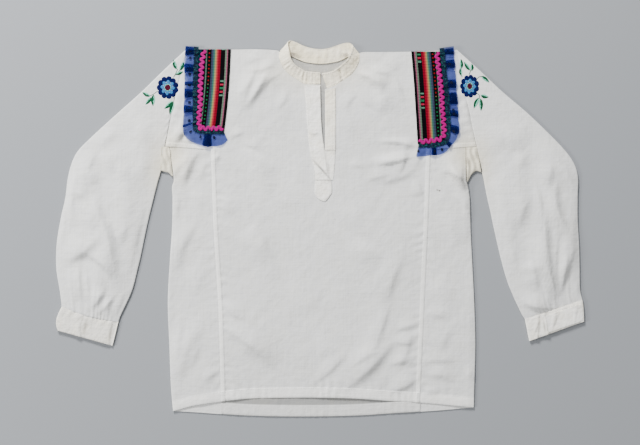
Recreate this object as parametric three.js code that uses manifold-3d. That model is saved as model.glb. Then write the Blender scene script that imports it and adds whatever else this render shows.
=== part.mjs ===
// An embroidered folk shirt of white cotton, laid out flat with its front up.
// Lengths are in millimetres. +X runs towards the wearer's left sleeve, +Y towards the collar and
// +Z up from the surface that the shirt lies on. Left and right are those of someone who looks down on
// the front. The back lies on the surface and the front lies on the back; the sleeves and cuffs are
// flattened tubes. Every cut piece of cloth is its own solid wall.
import * as THREE from "three";
import { mergeVertices } from "three/addons/utils/BufferGeometryUtils.js";
import Module from "manifold-3d";

const wasm = await Module();
wasm.setup();

// ---- driving dimensions ----
const CLOTH = 1.2; // one wall of shirting
const TRIM = 1.0; // ribbon and organza
const CUFF_WALL = 1.6; // doubled cloth
const COLLAR_WALL = 2.0; // doubled cloth with interlining
const SLEEVE_POINTS = 12; // across the upper layer of a sleeve
const SEAM_GAP = 0.3; // between pieces that are sewn together
const ARMHOLE_GAP = 0.8; // the same at the armholes, where the sleeve rises
const LAYER_GAP = 0.8; // between the back and the front
const HEM_DEPTH = 19; // turned-up hem
const HEM_RAISE = 0.5; // how far the turned-up cloth stands above the single wall
const FELL_WIDTH = 8; // flat-felled seam
const FELL_RAISE = 0.7;
const LATTICE = 26; // spacing of the points that carry the front's height
const NECK_CLEAR = 1.7; // from the middle of the collar's wall to the neck edge of a panel
const YOKE_SEAM = 156; // height of the seam that joins a side panel to the front, at its outer end
const YOKE_DROP = 6; // the seam falls by this much towards the middle
const SLIP = 0.4; // how far a raised strip stops short of the edge of its panel
const YOKE_FELL_START = 2.5; // from the armhole to the raised strip above the yoke seam
const LAP_LIFT = 0.4; // how far the lap on the right cuff stands above a flat cuff
const CUTTER = { low: -20, high: 60 }; // reach of a block that cuts cloth to its outline
const SEAM_FEET = { left: -187, right: 189 }; // about where the felled seams meet the hems
const FRONT_HEM = -325; // about how low the front's hem is at those seams
const SIDE_PLACES = { seam: 200, middle: 235, top: 280, foot: 285 }; // across a side panel, outwards
const OVER_SEAM = { start: 20, run: 10 }; // where a trim starts to rise above the yoke seam, and how soon

const BACK_MID = CLOTH / 2;
const FRONT_MID = CLOTH + LAYER_GAP + CLOTH / 2;
const ON_FRONT = CLOTH / 2 + SEAM_GAP; // from the front's middle to the underside of what lies on it

// ---- tables: one row for each measured place ----
// Side edges of the body, where the side panels fold from front to back.
const BODY_EDGES = [
  { y: 156, left: -286, right: 277 },
  { y: 125, left: -281.5, right: 277.5 },
  { y: 92, left: -277.5, right: 278 },
  { y: 80, left: -281, right: 281 },
  { y: 60, left: -280, right: 284 },
  { y: 0, left: -281, right: 286 },
  { y: -60, left: -285, right: 289 },
  { y: -140, left: -289, right: 293 },
  { y: -220, left: -286, right: 295 },
  { y: -300, left: -283, right: 293 },
  { y: -346, left: -279, right: 292 },
];
// The flat-felled seams between the middle panel and the side panels.
const FELL_SEAMS = [
  { y: 156, left: -207.5, right: 210.5 },
  { y: 0, left: -202, right: 205 },
  { y: -150, left: -193, right: 198 },
  { y: -356, left: -187, right: 189 },
];
// The lower edges of front and back. The back is cut longer, so its inside shows below the front.
const HEMS = [
  { x: -279, front: -345.5, back: -345.5 },
  { x: -262, front: -341, back: -346.5 },
  { x: -236, front: -334.5, back: -348 },
  { x: -187, front: -327.5, back: -351.5 },
  { x: -135, front: -322, back: -354.5 },
  { x: -60, front: -320.3, back: -356.2 },
  { x: 20, front: -320.3, back: -355.8 },
  { x: 77, front: -322.4, back: -354.2 },
  { x: 132, front: -326.4, back: -350.5 },
  { x: 189, front: -329.5, back: -347 },
  { x: 240, front: -333.8, back: -343.3 },
  { x: 292, front: -338.5, back: -338.5 },
];
// The shoulder folds, from the armhole to the collar.
const SHOULDERS = {
  left: [
    { x: -169, y: 340.5 },
    { x: -120, y: 341 },
  ],
  right: [
    { x: 167, y: 336.5 },
    { x: 120, y: 336 },
  ],
};
// The collar band: the neck seam (b) and the upper edge (t), from the wearer's right front end round the
// back to the left front end. The front lies raised on the back, and the band stands up where it turns.
const COLLAR = [
  { bx: 0.4, by: 275.7, bz: 3.2, tx: 0.4, ty: 296.8, tz: 4.6 },
  { bx: -15.2, by: 274.6, bz: 3.2, tx: -15.2, ty: 298.3, tz: 4.8 },
  { bx: -29.5, by: 275.7, bz: 3.3, tx: -27, ty: 299.6, tz: 5.2 },
  { bx: -43.7, by: 284, bz: 3.5, tx: -36.5, ty: 304.4, tz: 6.4 },
  { bx: -57, by: 292.6, bz: 3.7, tx: -44.5, ty: 309.1, tz: 8 },
  { bx: -66.5, by: 301.5, bz: 3.9, tx: -50.5, ty: 315, tz: 9.5 },
  { bx: -73.2, by: 311.6, bz: 4.1, tx: -55, ty: 323, tz: 11 },
  { bx: -77, by: 322, bz: 4.2, tx: -58, ty: 335, tz: 11.5 },
  { bx: -78.2, by: 331.5, bz: 4, tx: -60.5, ty: 347.5, tz: 9.5 },
  { bx: -76.5, by: 337.5, bz: 2.6, tx: -60.5, ty: 356.5, tz: 5 },
  { bx: -69, by: 336, bz: 1, tx: -54.5, ty: 357.6, tz: 1 },
  { bx: -57, by: 329.7, bz: 1, tx: -46, ty: 354.9, tz: 1 },
  { bx: -43.7, by: 323, bz: 1, tx: -34.2, ty: 349.2, tz: 1 },
  { bx: -28.5, by: 317.3, bz: 1, tx: -20, ty: 344.3, tz: 1 },
  { bx: -13.3, by: 314.8, bz: 1, tx: -6, ty: 342, tz: 1 },
  { bx: 2.5, by: 313.9, bz: 1, tx: 7.6, ty: 342, tz: 1 },
  { bx: 19, by: 315.4, bz: 1, tx: 21.9, ty: 345, tz: 1 },
  { bx: 36.1, by: 319.2, bz: 1, tx: 37, ty: 350.4, tz: 1 },
  { bx: 51.3, by: 325.9, bz: 1, tx: 49, ty: 353.4, tz: 1 },
  { bx: 64, by: 331.4, bz: 1, tx: 56, ty: 353.4, tz: 1 },
  { bx: 72.4, by: 333.6, bz: 1.6, tx: 60.6, ty: 351.4, tz: 2.2 },
  { bx: 76.2, by: 331.6, bz: 2.9, tx: 62.4, ty: 347.6, tz: 5 },
  { bx: 76.2, by: 326, bz: 4, tx: 61, ty: 341, tz: 8.5 },
  { bx: 74.3, by: 316.4, bz: 4.2, tx: 57, ty: 330.6, tz: 10.5 },
  { bx: 69.4, by: 305.4, bz: 4.1, tx: 50.8, ty: 320.6, tz: 10 },
  { bx: 61.6, by: 295.8, bz: 3.9, tx: 42, ty: 312.6, tz: 8.8 },
  { bx: 50.8, by: 287, bz: 3.7, tx: 33.4, ty: 305.6, tz: 7.2 },
  { bx: 39.4, by: 279.4, bz: 3.5, tx: 25.2, ty: 300.4, tz: 6 },
  { bx: 27.6, by: 272, bz: 3.3, tx: 15.6, ty: 297.4, tz: 5.2 },
  { bx: 13.3, by: 266.6, bz: 3.2, tx: 3.6, ty: 295.4, tz: 4.8 },
];
const COLLAR_BACK = { first: 9, last: 21 }; // the rows between the two turns
// Where the neck edges of the panels meet the shoulders, and the front's neck edge meets the slit.
const NECK_CORNERS = {
  front: { left: { x: -80.5, y: 338.5 }, right: { x: 78, y: 335 } },
  back: { left: { x: -78.5, y: 337.6 }, right: { x: 75.5, y: 334.6 } },
  slit: { x: 9.8, y: 264.6 },
};
// The slit below the collar: where its two sides stand at each height.
const SLIT = [
  { y: 276, left: 0.6, right: 9.5 },
  { y: 236, left: 1.5, right: 9.5 },
  { y: 207, left: 2.5, right: 9.5 },
  { y: 179, left: 4.6, right: 9.4 },
  { y: 154, left: 8.4, right: 9.1 },
];
// The two bands beside the slit. Below it the first one runs across the whole placket.
const PLACKET_BANDS = {
  under: [
    { x: 10, y: 262.5 },
    { x: 29, y: 267.5 },
    { x: 29.3, y: 207 },
    { x: 29, y: 150 },
    { x: 10, y: 150 },
    { x: 10, y: 207 },
  ],
  over: [
    { x: -29.5, y: 271.5 },
    { x: 0.1, y: 271.5 },
    { x: 1, y: 236 },
    { x: 2, y: 207 },
    { x: 4.1, y: 179 },
    { x: 8.2, y: 149.4 },
    { x: 28.6, y: 149.4 },
    { x: 27.5, y: 121 },
    { x: 24.7, y: 93.4 },
    { x: -8.5, y: 93.4 },
    { x: -10.5, y: 112 },
    { x: -15, y: 131 },
    { x: -19, y: 150 },
    { x: -22, y: 179 },
    { x: -24.5, y: 207 },
    { x: -26, y: 236 },
  ],
};
// The pointed tab that closes the placket.
const PLACKET_POINT = [
  { x: -8.2, y: 92.8 },
  { x: 20, y: 92.8 },
  { x: 21.8, y: 81 },
  { x: 21.8, y: 68.5 },
  { x: 9.5, y: 53.2 },
  { x: -5.7, y: 60 },
  { x: -9.8, y: 70 },
];
// The sleeves: the outer and inner edge of each section, how far its middle bows towards the cuff, and
// how far the upper layer stands above a flat one.
const SLEEVES = {
  left: [
    { ox: -254.2, oy: 341, ix: -301.5, iy: 112, bow: 4.5, puff: 0 },
    { ox: -295, oy: 303, ix: -304, iy: 103, bow: 4, puff: 0.5 },
    { ox: -340, oy: 259.4, ix: -307, iy: 93, bow: 3, puff: 1 },
    { ox: -385.7, oy: 218.5, ix: -310.5, iy: 80, bow: 2, puff: 1.4 },
    { ox: -429.4, oy: 178.6, ix: -314.8, iy: 62.7, bow: 0, puff: 1.9 },
    { ox: -458, oy: 150, ix: -320, iy: 41.8, bow: 0, puff: 2.2 },
    { ox: -470.5, oy: 127.3, ix: -325.9, iy: 17.1, bow: 0, puff: 2.4 },
    { ox: -478.8, oy: 96.9, ix: -332.5, iy: -13.3, bow: 0, puff: 2.6 },
    { ox: -483.6, oy: 58.9, ix: -339.5, iy: -47.5, bow: 0, puff: 2.8 },
    { ox: -492.1, oy: 20.9, ix: -347.1, iy: -79.8, bow: 0, puff: 2.8 },
    { ox: -499.7, oy: -26.6, ix: -355.9, iy: -114, bow: 0, puff: 2.8 },
    { ox: -500.7, oy: -74.1, ix: -367.7, iy: -141.6, bow: 2, puff: 2.6 },
    { ox: -494, oy: -117.8, ix: -378.1, iy: -163.4, bow: 4, puff: 2 },
    { ox: -490.2, oy: -148, ix: -382.8, iy: -176.7, bow: 5, puff: 0.8 },
  ],
  right: [
    { ox: 260.3, oy: 340, ix: 307.3, iy: 108.3, bow: -3, puff: 0 },
    { ox: 302.1, oy: 302.1, ix: 310.5, iy: 95, bow: -2, puff: 0.5 },
    { ox: 347.7, oy: 259.4, ix: 314, iy: 76, bow: 0, puff: 1 },
    { ox: 391.4, oy: 222.3, ix: 318.3, iy: 55.1, bow: 0, puff: 1.4 },
    { ox: 431.3, oy: 184.3, ix: 323.6, iy: 32.3, bow: 0, puff: 1.9 },
    { ox: 461.7, oy: 153, ix: 328.7, iy: 7.6, bow: 0, puff: 2.2 },
    { ox: 480.7, oy: 127.3, ix: 335, iy: -20.9, bow: 0, puff: 2.4 },
    { ox: 489.6, oy: 100.7, ix: 342, iy: -51.3, bow: 0, puff: 2.6 },
    { ox: 489.3, oy: 60.8, ix: 349, iy: -77.9, bow: 0, puff: 2.8 },
    { ox: 489.3, oy: 17.1, ix: 356.3, iy: -101.7, bow: 0, puff: 2.8 },
    { ox: 492.1, oy: -34.2, ix: 365.8, iy: -125.4, bow: 0, puff: 2.8 },
    { ox: 493.1, oy: -81.7, ix: 376.2, iy: -148.2, bow: 0, puff: 2.6 },
    { ox: 494, oy: -115.9, ix: 383.8, iy: -163.4, bow: 0, puff: 2 },
    { ox: 498.8, oy: -135.9, ix: 389.3, iy: -172, bow: 0, puff: 0.8 },
  ],
};
// The cuffs: as the sleeves, with the two ends of each section.
const CUFFS = {
  left: [
    { ox: -491, oy: -149, ix: -383, iy: -177.4, bow: 5, puff: 0.3 },
    { ox: -499.3, oy: -167, ix: -387.2, iy: -196, bow: 3, puff: 0.6 },
    { ox: -501, oy: -182, ix: -390.9, iy: -211, bow: 1, puff: 0.6 },
    { ox: -498, oy: -193.4, ix: -393.6, iy: -221.4, bow: 0, puff: 0.3 },
  ],
  right: [
    { ox: 498.9, oy: -136.8, ix: 389.6, iy: -172.9, bow: 0, puff: 0.3 },
    { ox: 500.5, oy: -150, ix: 392, iy: -186, bow: 0, puff: 0.6 },
    { ox: 501.2, oy: -164, ix: 394.6, iy: -200, bow: 0, puff: 0.6 },
    { ox: 501.6, oy: -175.8, ix: 397.1, iy: -212.4, bow: 0, puff: 0.3 },
  ],
};
// The end of the right cuff's band laps over its front: its outline.
const CUFF_LAP = [
  { x: 424.5, y: -165 },
  { x: 427.5, y: -198.2 },
  { x: 452, y: -189.8 },
  { x: 474, y: -182.2 },
  { x: 498.6, y: -173.6 },
  { x: 496, y: -141.5 },
  { x: 470, y: -150.5 },
  { x: 447, y: -158 },
];
// The underarm gussets: the yoke-seam end (t) and the fold at the underarm (b) of each section, from the
// sleeve to the side panel.
const GUSSETS = {
  left: [
    { tx: -293.4, bx: -299.8, by: 111.5 },
    { tx: -292, bx: -295, by: 109 },
    { tx: -290.4, bx: -288, by: 107 },
    { tx: -288, bx: -281.4, by: 101 },
  ],
  right: [
    { tx: 278, bx: 281.4, by: 90 },
    { tx: 284, bx: 287.4, by: 103 },
    { tx: 290, bx: 295, by: 110 },
    { tx: 295.4, bx: 304.4, by: 108 },
  ],
};
// The shoulder trims: where the ruffle is gathered (h) and its free edge (e), from the shoulder down and
// round the lower end.
const RUFFLES = {
  left: [
    { hx: -233.5, hy: 346, ex: -255, ey: 347.5 },
    { hx: -234.7, hy: 311.6, ex: -257.5, ey: 311.6 },
    { hx: -235.6, hy: 273.6, ex: -257.5, ey: 273.6 },
    { hx: -236, hy: 235, ex: -258.4, ey: 235 },
    { hx: -236.5, hy: 200, ex: -260.3, ey: 192 },
    { hx: -234.5, hy: 190.5, ex: -254, ey: 174.5 },
    { hx: -229, hy: 186.3, ex: -240, ey: 163 },
    { hx: -218, hy: 185.3, ex: -222, ey: 157.5 },
    { hx: -205, hy: 185, ex: -206, ey: 156.5 },
    { hx: -191, hy: 185, ex: -186, ey: 159 },
    { hx: -182, hy: 185.5, ex: -174.5, ey: 168 },
  ],
  right: [
    { hx: 230, hy: 343.5, ex: 253.5, ey: 347 },
    { hx: 234.6, hy: 302, ex: 256.5, ey: 302 },
    { hx: 238.5, hy: 264, ex: 259.4, ey: 264 },
    { hx: 241, hy: 226, ex: 262, ey: 226 },
    { hx: 242.5, hy: 197.6, ex: 263.8, ey: 191 },
    { hx: 242, hy: 181, ex: 261, ey: 174 },
    { hx: 239.4, hy: 170, ex: 250, ey: 159.5 },
    { hx: 234, hy: 163.6, ex: 239, ey: 147 },
    { hx: 222, hy: 161, ex: 224, ey: 140 },
    { hx: 205, hy: 160, ex: 203, ey: 139 },
    { hx: 187, hy: 159, ex: 182, ey: 136.5 },
  ],
};
// Where each ruffle is laid in pleats, as shares of its length, and how wide each pleat is.
const PLEATS = {
  left: [
    { at: 0.02, width: 8 },
    { at: 0.14, width: 7 },
    { at: 0.245, width: 4 },
    { at: 0.305, width: 8 },
    { at: 0.425, width: 7 },
    { at: 0.55, width: 4 },
    { at: 0.65, width: 3.5 },
    { at: 0.77, width: 7 },
    { at: 0.88, width: 3.5 },
  ],
  right: [
    { at: 0.015, width: 8 },
    { at: 0.115, width: 6 },
    { at: 0.235, width: 8 },
    { at: 0.315, width: 5 },
    { at: 0.395, width: 5 },
    { at: 0.48, width: 6 },
    { at: 0.56, width: 4 },
    { at: 0.68, width: 5 },
    { at: 0.78, width: 4 },
    { at: 0.9, width: 4 },
  ],
};
// The neck-side edge of each striped ribbon, from the shoulder down.
const RIBBON_EDGES = {
  left: [
    { x: -169, y: 341 },
    { x: -172.3, y: 273.6 },
    { x: -177.7, y: 216.6 },
    { x: -181.8, y: 186 },
  ],
  right: [
    { x: 173, y: 337 },
    { x: 177.7, y: 283 },
    { x: 181.5, y: 226 },
    { x: 185.5, y: 161 },
  ],
};
// The line that each ric-rac braid follows.
const RICRACS = {
  left: [
    { x: -220.4, y: 339 },
    { x: -224.2, y: 311.6 },
    { x: -226.5, y: 273.6 },
    { x: -227.4, y: 235.6 },
    { x: -229.6, y: 202 },
    { x: -227.6, y: 192.4 },
    { x: -219, y: 191 },
    { x: -184, y: 191 },
  ],
  right: [
    { x: 221.4, y: 335 },
    { x: 225.2, y: 302 },
    { x: 229.9, y: 264 },
    { x: 232.2, y: 226 },
    { x: 234.9, y: 196 },
    { x: 235.6, y: 183 },
    { x: 229.5, y: 171.5 },
    { x: 211, y: 167.6 },
    { x: 188, y: 165.6 },
  ],
};
// Soft ridges in the cloth: the ends of each, how far its middle bows aside, its half width and height.
const BODY_FOLDS = [
  { x0: -245, y0: 138, x1: -271, y1: 92, bow: 3, width: 10, height: 1.2 },
  { x0: -236, y0: 10, x1: -274, y1: -80, bow: -8, width: 13, height: 1.8 },
  { x0: -152, y0: 150, x1: -84, y1: 105, bow: 3, width: 15, height: 1.6 },
  { x0: -137, y0: 10, x1: -93, y1: -63, bow: 4, width: 16, height: 1.8 },
  { x0: -184, y0: -184, x1: -84, y1: -262, bow: 6, width: 15, height: 2.4 },
  { x0: -215, y0: -179, x1: -266, y1: -300, bow: -18, width: 13, height: 1.8 },
  { x0: 135, y0: -209, x1: 46, y1: -300, bow: 8, width: 15, height: 2.8 },
  { x0: 184, y0: -279, x1: 133, y1: -304, bow: 6, width: 11, height: 1.6 },
  { x0: 152, y0: -51, x1: 128, y1: -140, bow: -3, width: 15, height: 1.8 },
  { x0: 168, y0: 142, x1: 99, y1: 129, bow: 2, width: 13, height: 1.7 },
  { x0: 238, y0: 118, x1: 272, y1: 70, bow: 4, width: 11, height: 2 },
  { x0: -99, y0: 306, x1: -145, y1: 228, bow: 2, width: 13, height: 2 },
  { x0: 90, y0: 290, x1: 132, y1: 268, bow: 4, width: 12, height: 1.5 },
  { x0: 99, y0: 262, x1: 122, y1: 215, bow: 5, width: 15, height: 1.4 },
  { x0: 65, y0: -17, x1: 122, y1: -59, bow: -3, width: 16, height: 1.5 },
];
const SLEEVE_FOLDS = {
  left: [
    { x0: -425.6, y0: -7.6, x1: -486, y1: -55, bow: 7, width: 11, height: 2.2 },
    { x0: -423.7, y0: 38, x1: -389.5, y1: -78, bow: 5, width: 12, height: 2 },
    { x0: -416, y0: 150, x1: -388, y1: 103, bow: 3, width: 15, height: 1.2 },
    { x0: -458, y0: -63, x1: -456, y1: -132, bow: 0, width: 9, height: 1.8 },
    { x0: -410, y0: -110, x1: -437, y1: -150, bow: 4, width: 9, height: 2 },
    { x0: -474, y0: 8, x1: -466, y1: 93, bow: 3, width: 10, height: 1.4 },
  ],
  right: [
    { x0: 427.5, y0: 30, x1: 444.6, y1: -116, bow: -4, width: 11, height: 2.4 },
    { x0: 446.5, y0: 89, x1: 471, y1: -2, bow: -10, width: 12, height: 2.2 },
    { x0: 480, y0: -28.5, x1: 460, y1: -106, bow: 0, width: 10, height: 1.8 },
    { x0: 396, y0: -140, x1: 440, y1: -143, bow: -6, width: 9, height: 1.8 },
    { x0: 374, y0: 0, x1: 396, y1: 66, bow: 4, width: 14, height: 1.4 },
    { x0: 399, y0: -60, x1: 412, y1: -120, bow: 0, width: 10, height: 1.4 },
  ],
};
const GATHERS = { count: 6, height: 0.9, reach: 0.16 }; // small pleats where a sleeve meets its cuff
const RICRAC = { wave: 10, swing: 2.1, width: 4.6, wall: 1.2 };
const RIBBON_GAP = 0.9; // between a ribbon and the gathered edge of its ruffle
const RUFFLE = { steps: 72, across: 3, pleatHeight: 2.4, edgeRise: 0.8 };

// ---- reading the tables ----
const mix = (a, b, t) => a + (b - a) * t;

// A table's column at any place along another column, on a smooth curve through its rows.
function readAt(table, key, at, column) {
  const last = table.length - 1;
  const rising = table[last][key] > table[0][key];
  let k = table.findIndex((row) => (rising ? row[key] > at : row[key] < at)) - 1;
  if (k === -2) k = last - 1;
  k = Math.min(Math.max(k, 0), last - 1);
  const slope = (i) => {
    const [a, b] = [table[Math.max(i - 1, 0)], table[Math.min(i + 1, last)]];
    return (b[column] - a[column]) / (b[key] - a[key]);
  };
  const [p, q] = [table[k], table[k + 1]];
  const span = q[key] - p[key];
  const t = Math.min(Math.max((at - p[key]) / span, 0), 1);
  const [t2, t3] = [t * t, t * t * t];
  return (
    (2 * t3 - 3 * t2 + 1) * p[column] +
    (t3 - 2 * t2 + t) * span * slope(k) +
    (3 * t2 - 2 * t3) * q[column] +
    (t3 - t2) * span * slope(k + 1)
  );
}

// Every column of a table at a share of the way through its rows.
function rowAt(table, share) {
  const numbered = table.map((row, number) => ({ ...row, number }));
  const at = share * (table.length - 1);
  return Object.fromEntries(
    Object.keys(table[0]).map((column) => [column, readAt(numbered, "number", at, column)]),
  );
}

const sharesOf = (count) => Array.from({ length: count }, (_, k) => k / (count - 1));

// One section across a flattened sleeve or cuff, with the directions in which its two edges face.
function section(table, share) {
  const at = rowAt(table, share);
  const ahead = rowAt(table, Math.min(share + 0.02, 1));
  const behind = rowAt(table, Math.max(share - 0.02, 0));
  const outer = new THREE.Vector3(at.ox, at.oy, 0);
  const inner = new THREE.Vector3(at.ix, at.iy, 0);
  const outerWay = new THREE.Vector3(ahead.ox - behind.ox, ahead.oy - behind.oy, 0);
  const innerWay = new THREE.Vector3(ahead.ix - behind.ix, ahead.iy - behind.iy, 0);
  const facing = (way, from) => {
    const side = new THREE.Vector3(-way.y, way.x, 0).normalize();
    return side.dot(from) < 0 ? side.negate() : side;
  };
  const across = outer.clone().sub(inner);
  return {
    outer,
    inner,
    outerSide: facing(outerWay, across),
    innerSide: facing(innerWay, across.clone().negate()),
    forward: outerWay.add(innerWay).normalize(),
    bow: at.bow,
    puff: at.puff,
  };
}

// The part of a section between the folds at its two edges.
function flatPart(part, inset) {
  const outer = part.outer.clone().addScaledVector(part.outerSide, -inset);
  const inner = part.inner.clone().addScaledVector(part.innerSide, -inset);
  return { ...part, outer, inner };
}

// A point on a section at a share of its width.
function onSection(part, t) {
  return part.outer.clone().lerp(part.inner, t).addScaledVector(part.forward, part.bow * 4 * t * (1 - t));
}

// ---- heights ----
// A soft ridge's height at a point: full along its line, fading to both sides and towards its ends.
function ridge(fold, x, y) {
  const STEPS = 32;
  const length = Math.hypot(fold.x1 - fold.x0, fold.y1 - fold.y0);
  const [sideX, sideY] = [-(fold.y1 - fold.y0) / length, (fold.x1 - fold.x0) / length];
  let nearest = Infinity;
  let where = 0;
  for (let i = 0; i <= STEPS; i++) {
    const t = i / STEPS;
    const aside = fold.bow * 4 * t * (1 - t);
    const distance = Math.hypot(
      mix(fold.x0, fold.x1, t) + sideX * aside - x,
      mix(fold.y0, fold.y1, t) + sideY * aside - y,
    );
    if (distance < nearest) [nearest, where] = [distance, t];
  }
  return fold.height * Math.exp(-((nearest / fold.width) ** 2)) * (0.25 + 0.75 * Math.sin(Math.PI * where));
}

const relief = (folds, x, y) => folds.reduce((sum, fold) => sum + ridge(fold, x, y), 0);

// The middle of the front's wall.
const frontHeight = (x, y) => FRONT_MID + relief(BODY_FOLDS, x, y);

// ---- making walls ----
const UP = new THREE.Vector3(0, 0, 1);
const DOWN = new THREE.Vector3(0, 0, -1);

// A point on the middle of a wall, with the direction in which the wall's outer side lies.
const cloth = (at, out, extra = 0) => ({ at, out, extra });

// A closed wall around a grid of such points. A ring's rows close on themselves.
function wall(rows, thickness, ring = false) {
  const [m, n] = [rows.length, rows[0].length];
  const points = rows.flat();
  const outer = points.map((p) => p.at.clone().addScaledVector(p.out, thickness / 2 + p.extra));
  const inner = points.map((p) => p.at.clone().addScaledVector(p.out, -thickness / 2));
  const faces = [];
  const quad = (a, b, c, d) => faces.push(a, b, c, a, c, d);
  const id = (i, j) => i * n + ((j + n) % n);
  const far = m * n;
  const columns = ring ? n : n - 1;
  for (let i = 0; i < m - 1; i++) {
    for (let j = 0; j < columns; j++) {
      quad(id(i, j), id(i, j + 1), id(i + 1, j + 1), id(i + 1, j));
      quad(far + id(i, j), far + id(i + 1, j), far + id(i + 1, j + 1), far + id(i, j + 1));
    }
  }
  for (let j = 0; j < columns; j++) {
    quad(id(0, j + 1), id(0, j), far + id(0, j), far + id(0, j + 1));
    quad(id(m - 1, j), id(m - 1, j + 1), far + id(m - 1, j + 1), far + id(m - 1, j));
  }
  for (let i = 0; i < m - 1 && !ring; i++) {
    quad(id(i, 0), id(i + 1, 0), far + id(i + 1, 0), far + id(i, 0));
    quad(id(i + 1, n - 1), id(i, n - 1), far + id(i, n - 1), far + id(i + 1, n - 1));
  }
  const geometry = new THREE.BufferGeometry().setFromPoints([...outer, ...inner]);
  geometry.setIndex(faces);
  return facingOut(geometry);
}

// Gives a grid of points the directions square to it.
function withNormals(rows) {
  const near = (list, k) => list[Math.min(Math.max(k, 0), list.length - 1)];
  return rows.map((row, i) =>
    row.map((point, j) => {
      const along = near(rows, i + 1)[j].clone().sub(near(rows, i - 1)[j]);
      const across = near(row, j + 1).clone().sub(near(row, j - 1));
      return cloth(point, across.cross(along).normalize());
    }),
  );
}

// Turns every face round if the geometry's faces point inwards.
function facingOut(geometry) {
  const [p, index] = [geometry.getAttribute("position"), geometry.index.array];
  const corner = (k) => new THREE.Vector3().fromBufferAttribute(p, index[k]);
  let volume = 0;
  for (let k = 0; k < index.length; k += 3) volume += corner(k).dot(corner(k + 1).cross(corner(k + 2)));
  if (volume < 0) {
    for (let k = 0; k < index.length; k += 3) [index[k], index[k + 1]] = [index[k + 1], index[k]];
  }
  return geometry;
}

// A geometry as a solid that can be cut and joined, and a solid as a geometry.
function solid(geometry) {
  const plain = geometry.clone();
  for (const name of ["normal", "uv"]) plain.deleteAttribute(name);
  const merged = mergeVertices(plain, 1e-4);
  return new wasm.Manifold(
    new wasm.Mesh({
      numProp: 3,
      vertProperties: new Float32Array(merged.attributes.position.array),
      triVerts: new Uint32Array(merged.index.array),
    }),
  );
}

function geometryOf(made) {
  const mesh = made.getMesh();
  const geometry = new THREE.BufferGeometry();
  geometry.setAttribute("position", new THREE.BufferAttribute(mesh.vertProperties, 3));
  return geometry.setIndex(new THREE.BufferAttribute(mesh.triVerts, 1));
}

// A flat shape's outline as an upright block, for cutting cloth or as a flat panel.
function block(outline, low, high) {
  const shape = new THREE.Shape(outline.map((p) => new THREE.Vector2(p.x, p.y)));
  return new THREE.ExtrudeGeometry(shape, { depth: high - low, bevelEnabled: false }).translate(0, 0, low);
}

// Cloth that lies on the lattice of front heights, lifted by lift, and cut to an outline.
function cutFront(outline, lift, thickness) {
  const span = (key) => {
    const values = outline.map((p) => p[key] / LATTICE);
    return [Math.floor(Math.min(...values) - 0.05), Math.ceil(Math.max(...values) + 0.05)];
  };
  const [[x0, x1], [y0, y1]] = [span("x"), span("y")];
  const rows = [];
  for (let i = y0; i <= y1; i++) {
    rows.push([]);
    for (let j = x0; j <= x1; j++) {
      const [x, y] = [j * LATTICE, i * LATTICE];
      rows.at(-1).push(cloth(new THREE.Vector3(x, y, frontHeight(x, y) + lift), UP));
    }
  }
  return solid(wall(rows, thickness)).intersect(solid(block(outline, CUTTER.low, CUTTER.high)));
}

// ---- outlines of the body's panels ----
const seamX = (side, y) => readAt(FELL_SEAMS, "y", y, side);
const hemY = (layer, x) => readAt(HEMS, "x", x, layer);

// Points down one flat-felled seam, moved aside by a clearance.
function seamLine(side, bottom, aside) {
  return sharesOf(8).map((share) => {
    const y = mix(YOKE_SEAM - YOKE_DROP, bottom, share);
    return { x: seamX(side, y) + aside, y };
  });
}

function hemLine(layer, from, to, up = 0) {
  return sharesOf(11).map((share) => {
    const x = mix(from, to, share);
    return { x, y: hemY(layer, x) + up };
  });
}

// The neck edge that a panel is cut to: the collar's seam, moved outwards.
function neckLine(rows) {
  return rows.map((r) => {
    const length = Math.hypot(r.bx - r.tx, r.by - r.ty);
    return {
      x: r.bx + ((r.bx - r.tx) / length) * NECK_CLEAR,
      y: r.by + ((r.by - r.ty) / length) * NECK_CLEAR,
    };
  });
}

// The outline that front and back share below the shoulders, from the left shoulder anticlockwise.
function panelSides(layer) {
  const hemLeft = seamX("left", hemY(layer, SEAM_FEET.left)) + SEAM_GAP / 2;
  const hemRight = seamX("right", hemY(layer, SEAM_FEET.right)) - SEAM_GAP / 2;
  const left = seamLine("left", hemY(layer, hemLeft), SEAM_GAP / 2);
  const right = seamLine("right", hemY(layer, hemRight), -SEAM_GAP / 2);
  return [
    ...armhole("left"),
    ...left,
    ...hemLine(layer, hemLeft, hemRight).slice(1, -1),
    ...right.reverse(),
    ...armhole("right").reverse(),
  ];
}

// The armhole edge of front and back: along the sleeve's first section, from the shoulder to the yoke seam.
function armhole(side) {
  const part = section(SLEEVES[side], 0);
  const flat = flatPart(part, foldInset(BACK_MID, FRONT_MID));
  const line = [part.outer.clone(), ...sharesOf(SLEEVE_POINTS).map((t) => onSection(flat, t))];
  for (const p of line) p.addScaledVector(part.forward, -ARMHOLE_GAP);
  const above = line.filter((p) => p.y > YOKE_SEAM);
  const [p, q] = [above.at(-1), line[above.length]];
  const end = p.clone().lerp(q, (p.y - YOKE_SEAM) / (p.y - q.y));
  return [...above, end];
}

// The height of the yoke seam at a place across the body.
function yokeY(side, x) {
  const [near, far] = [seamX(side, YOKE_SEAM), armhole(side).at(-1).x];
  return YOKE_SEAM - YOKE_DROP * (1 - (x - near) / (far - near));
}

const slitSide = (side) => SLIT.map((row) => ({ x: row[side], y: row.y }));

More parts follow.
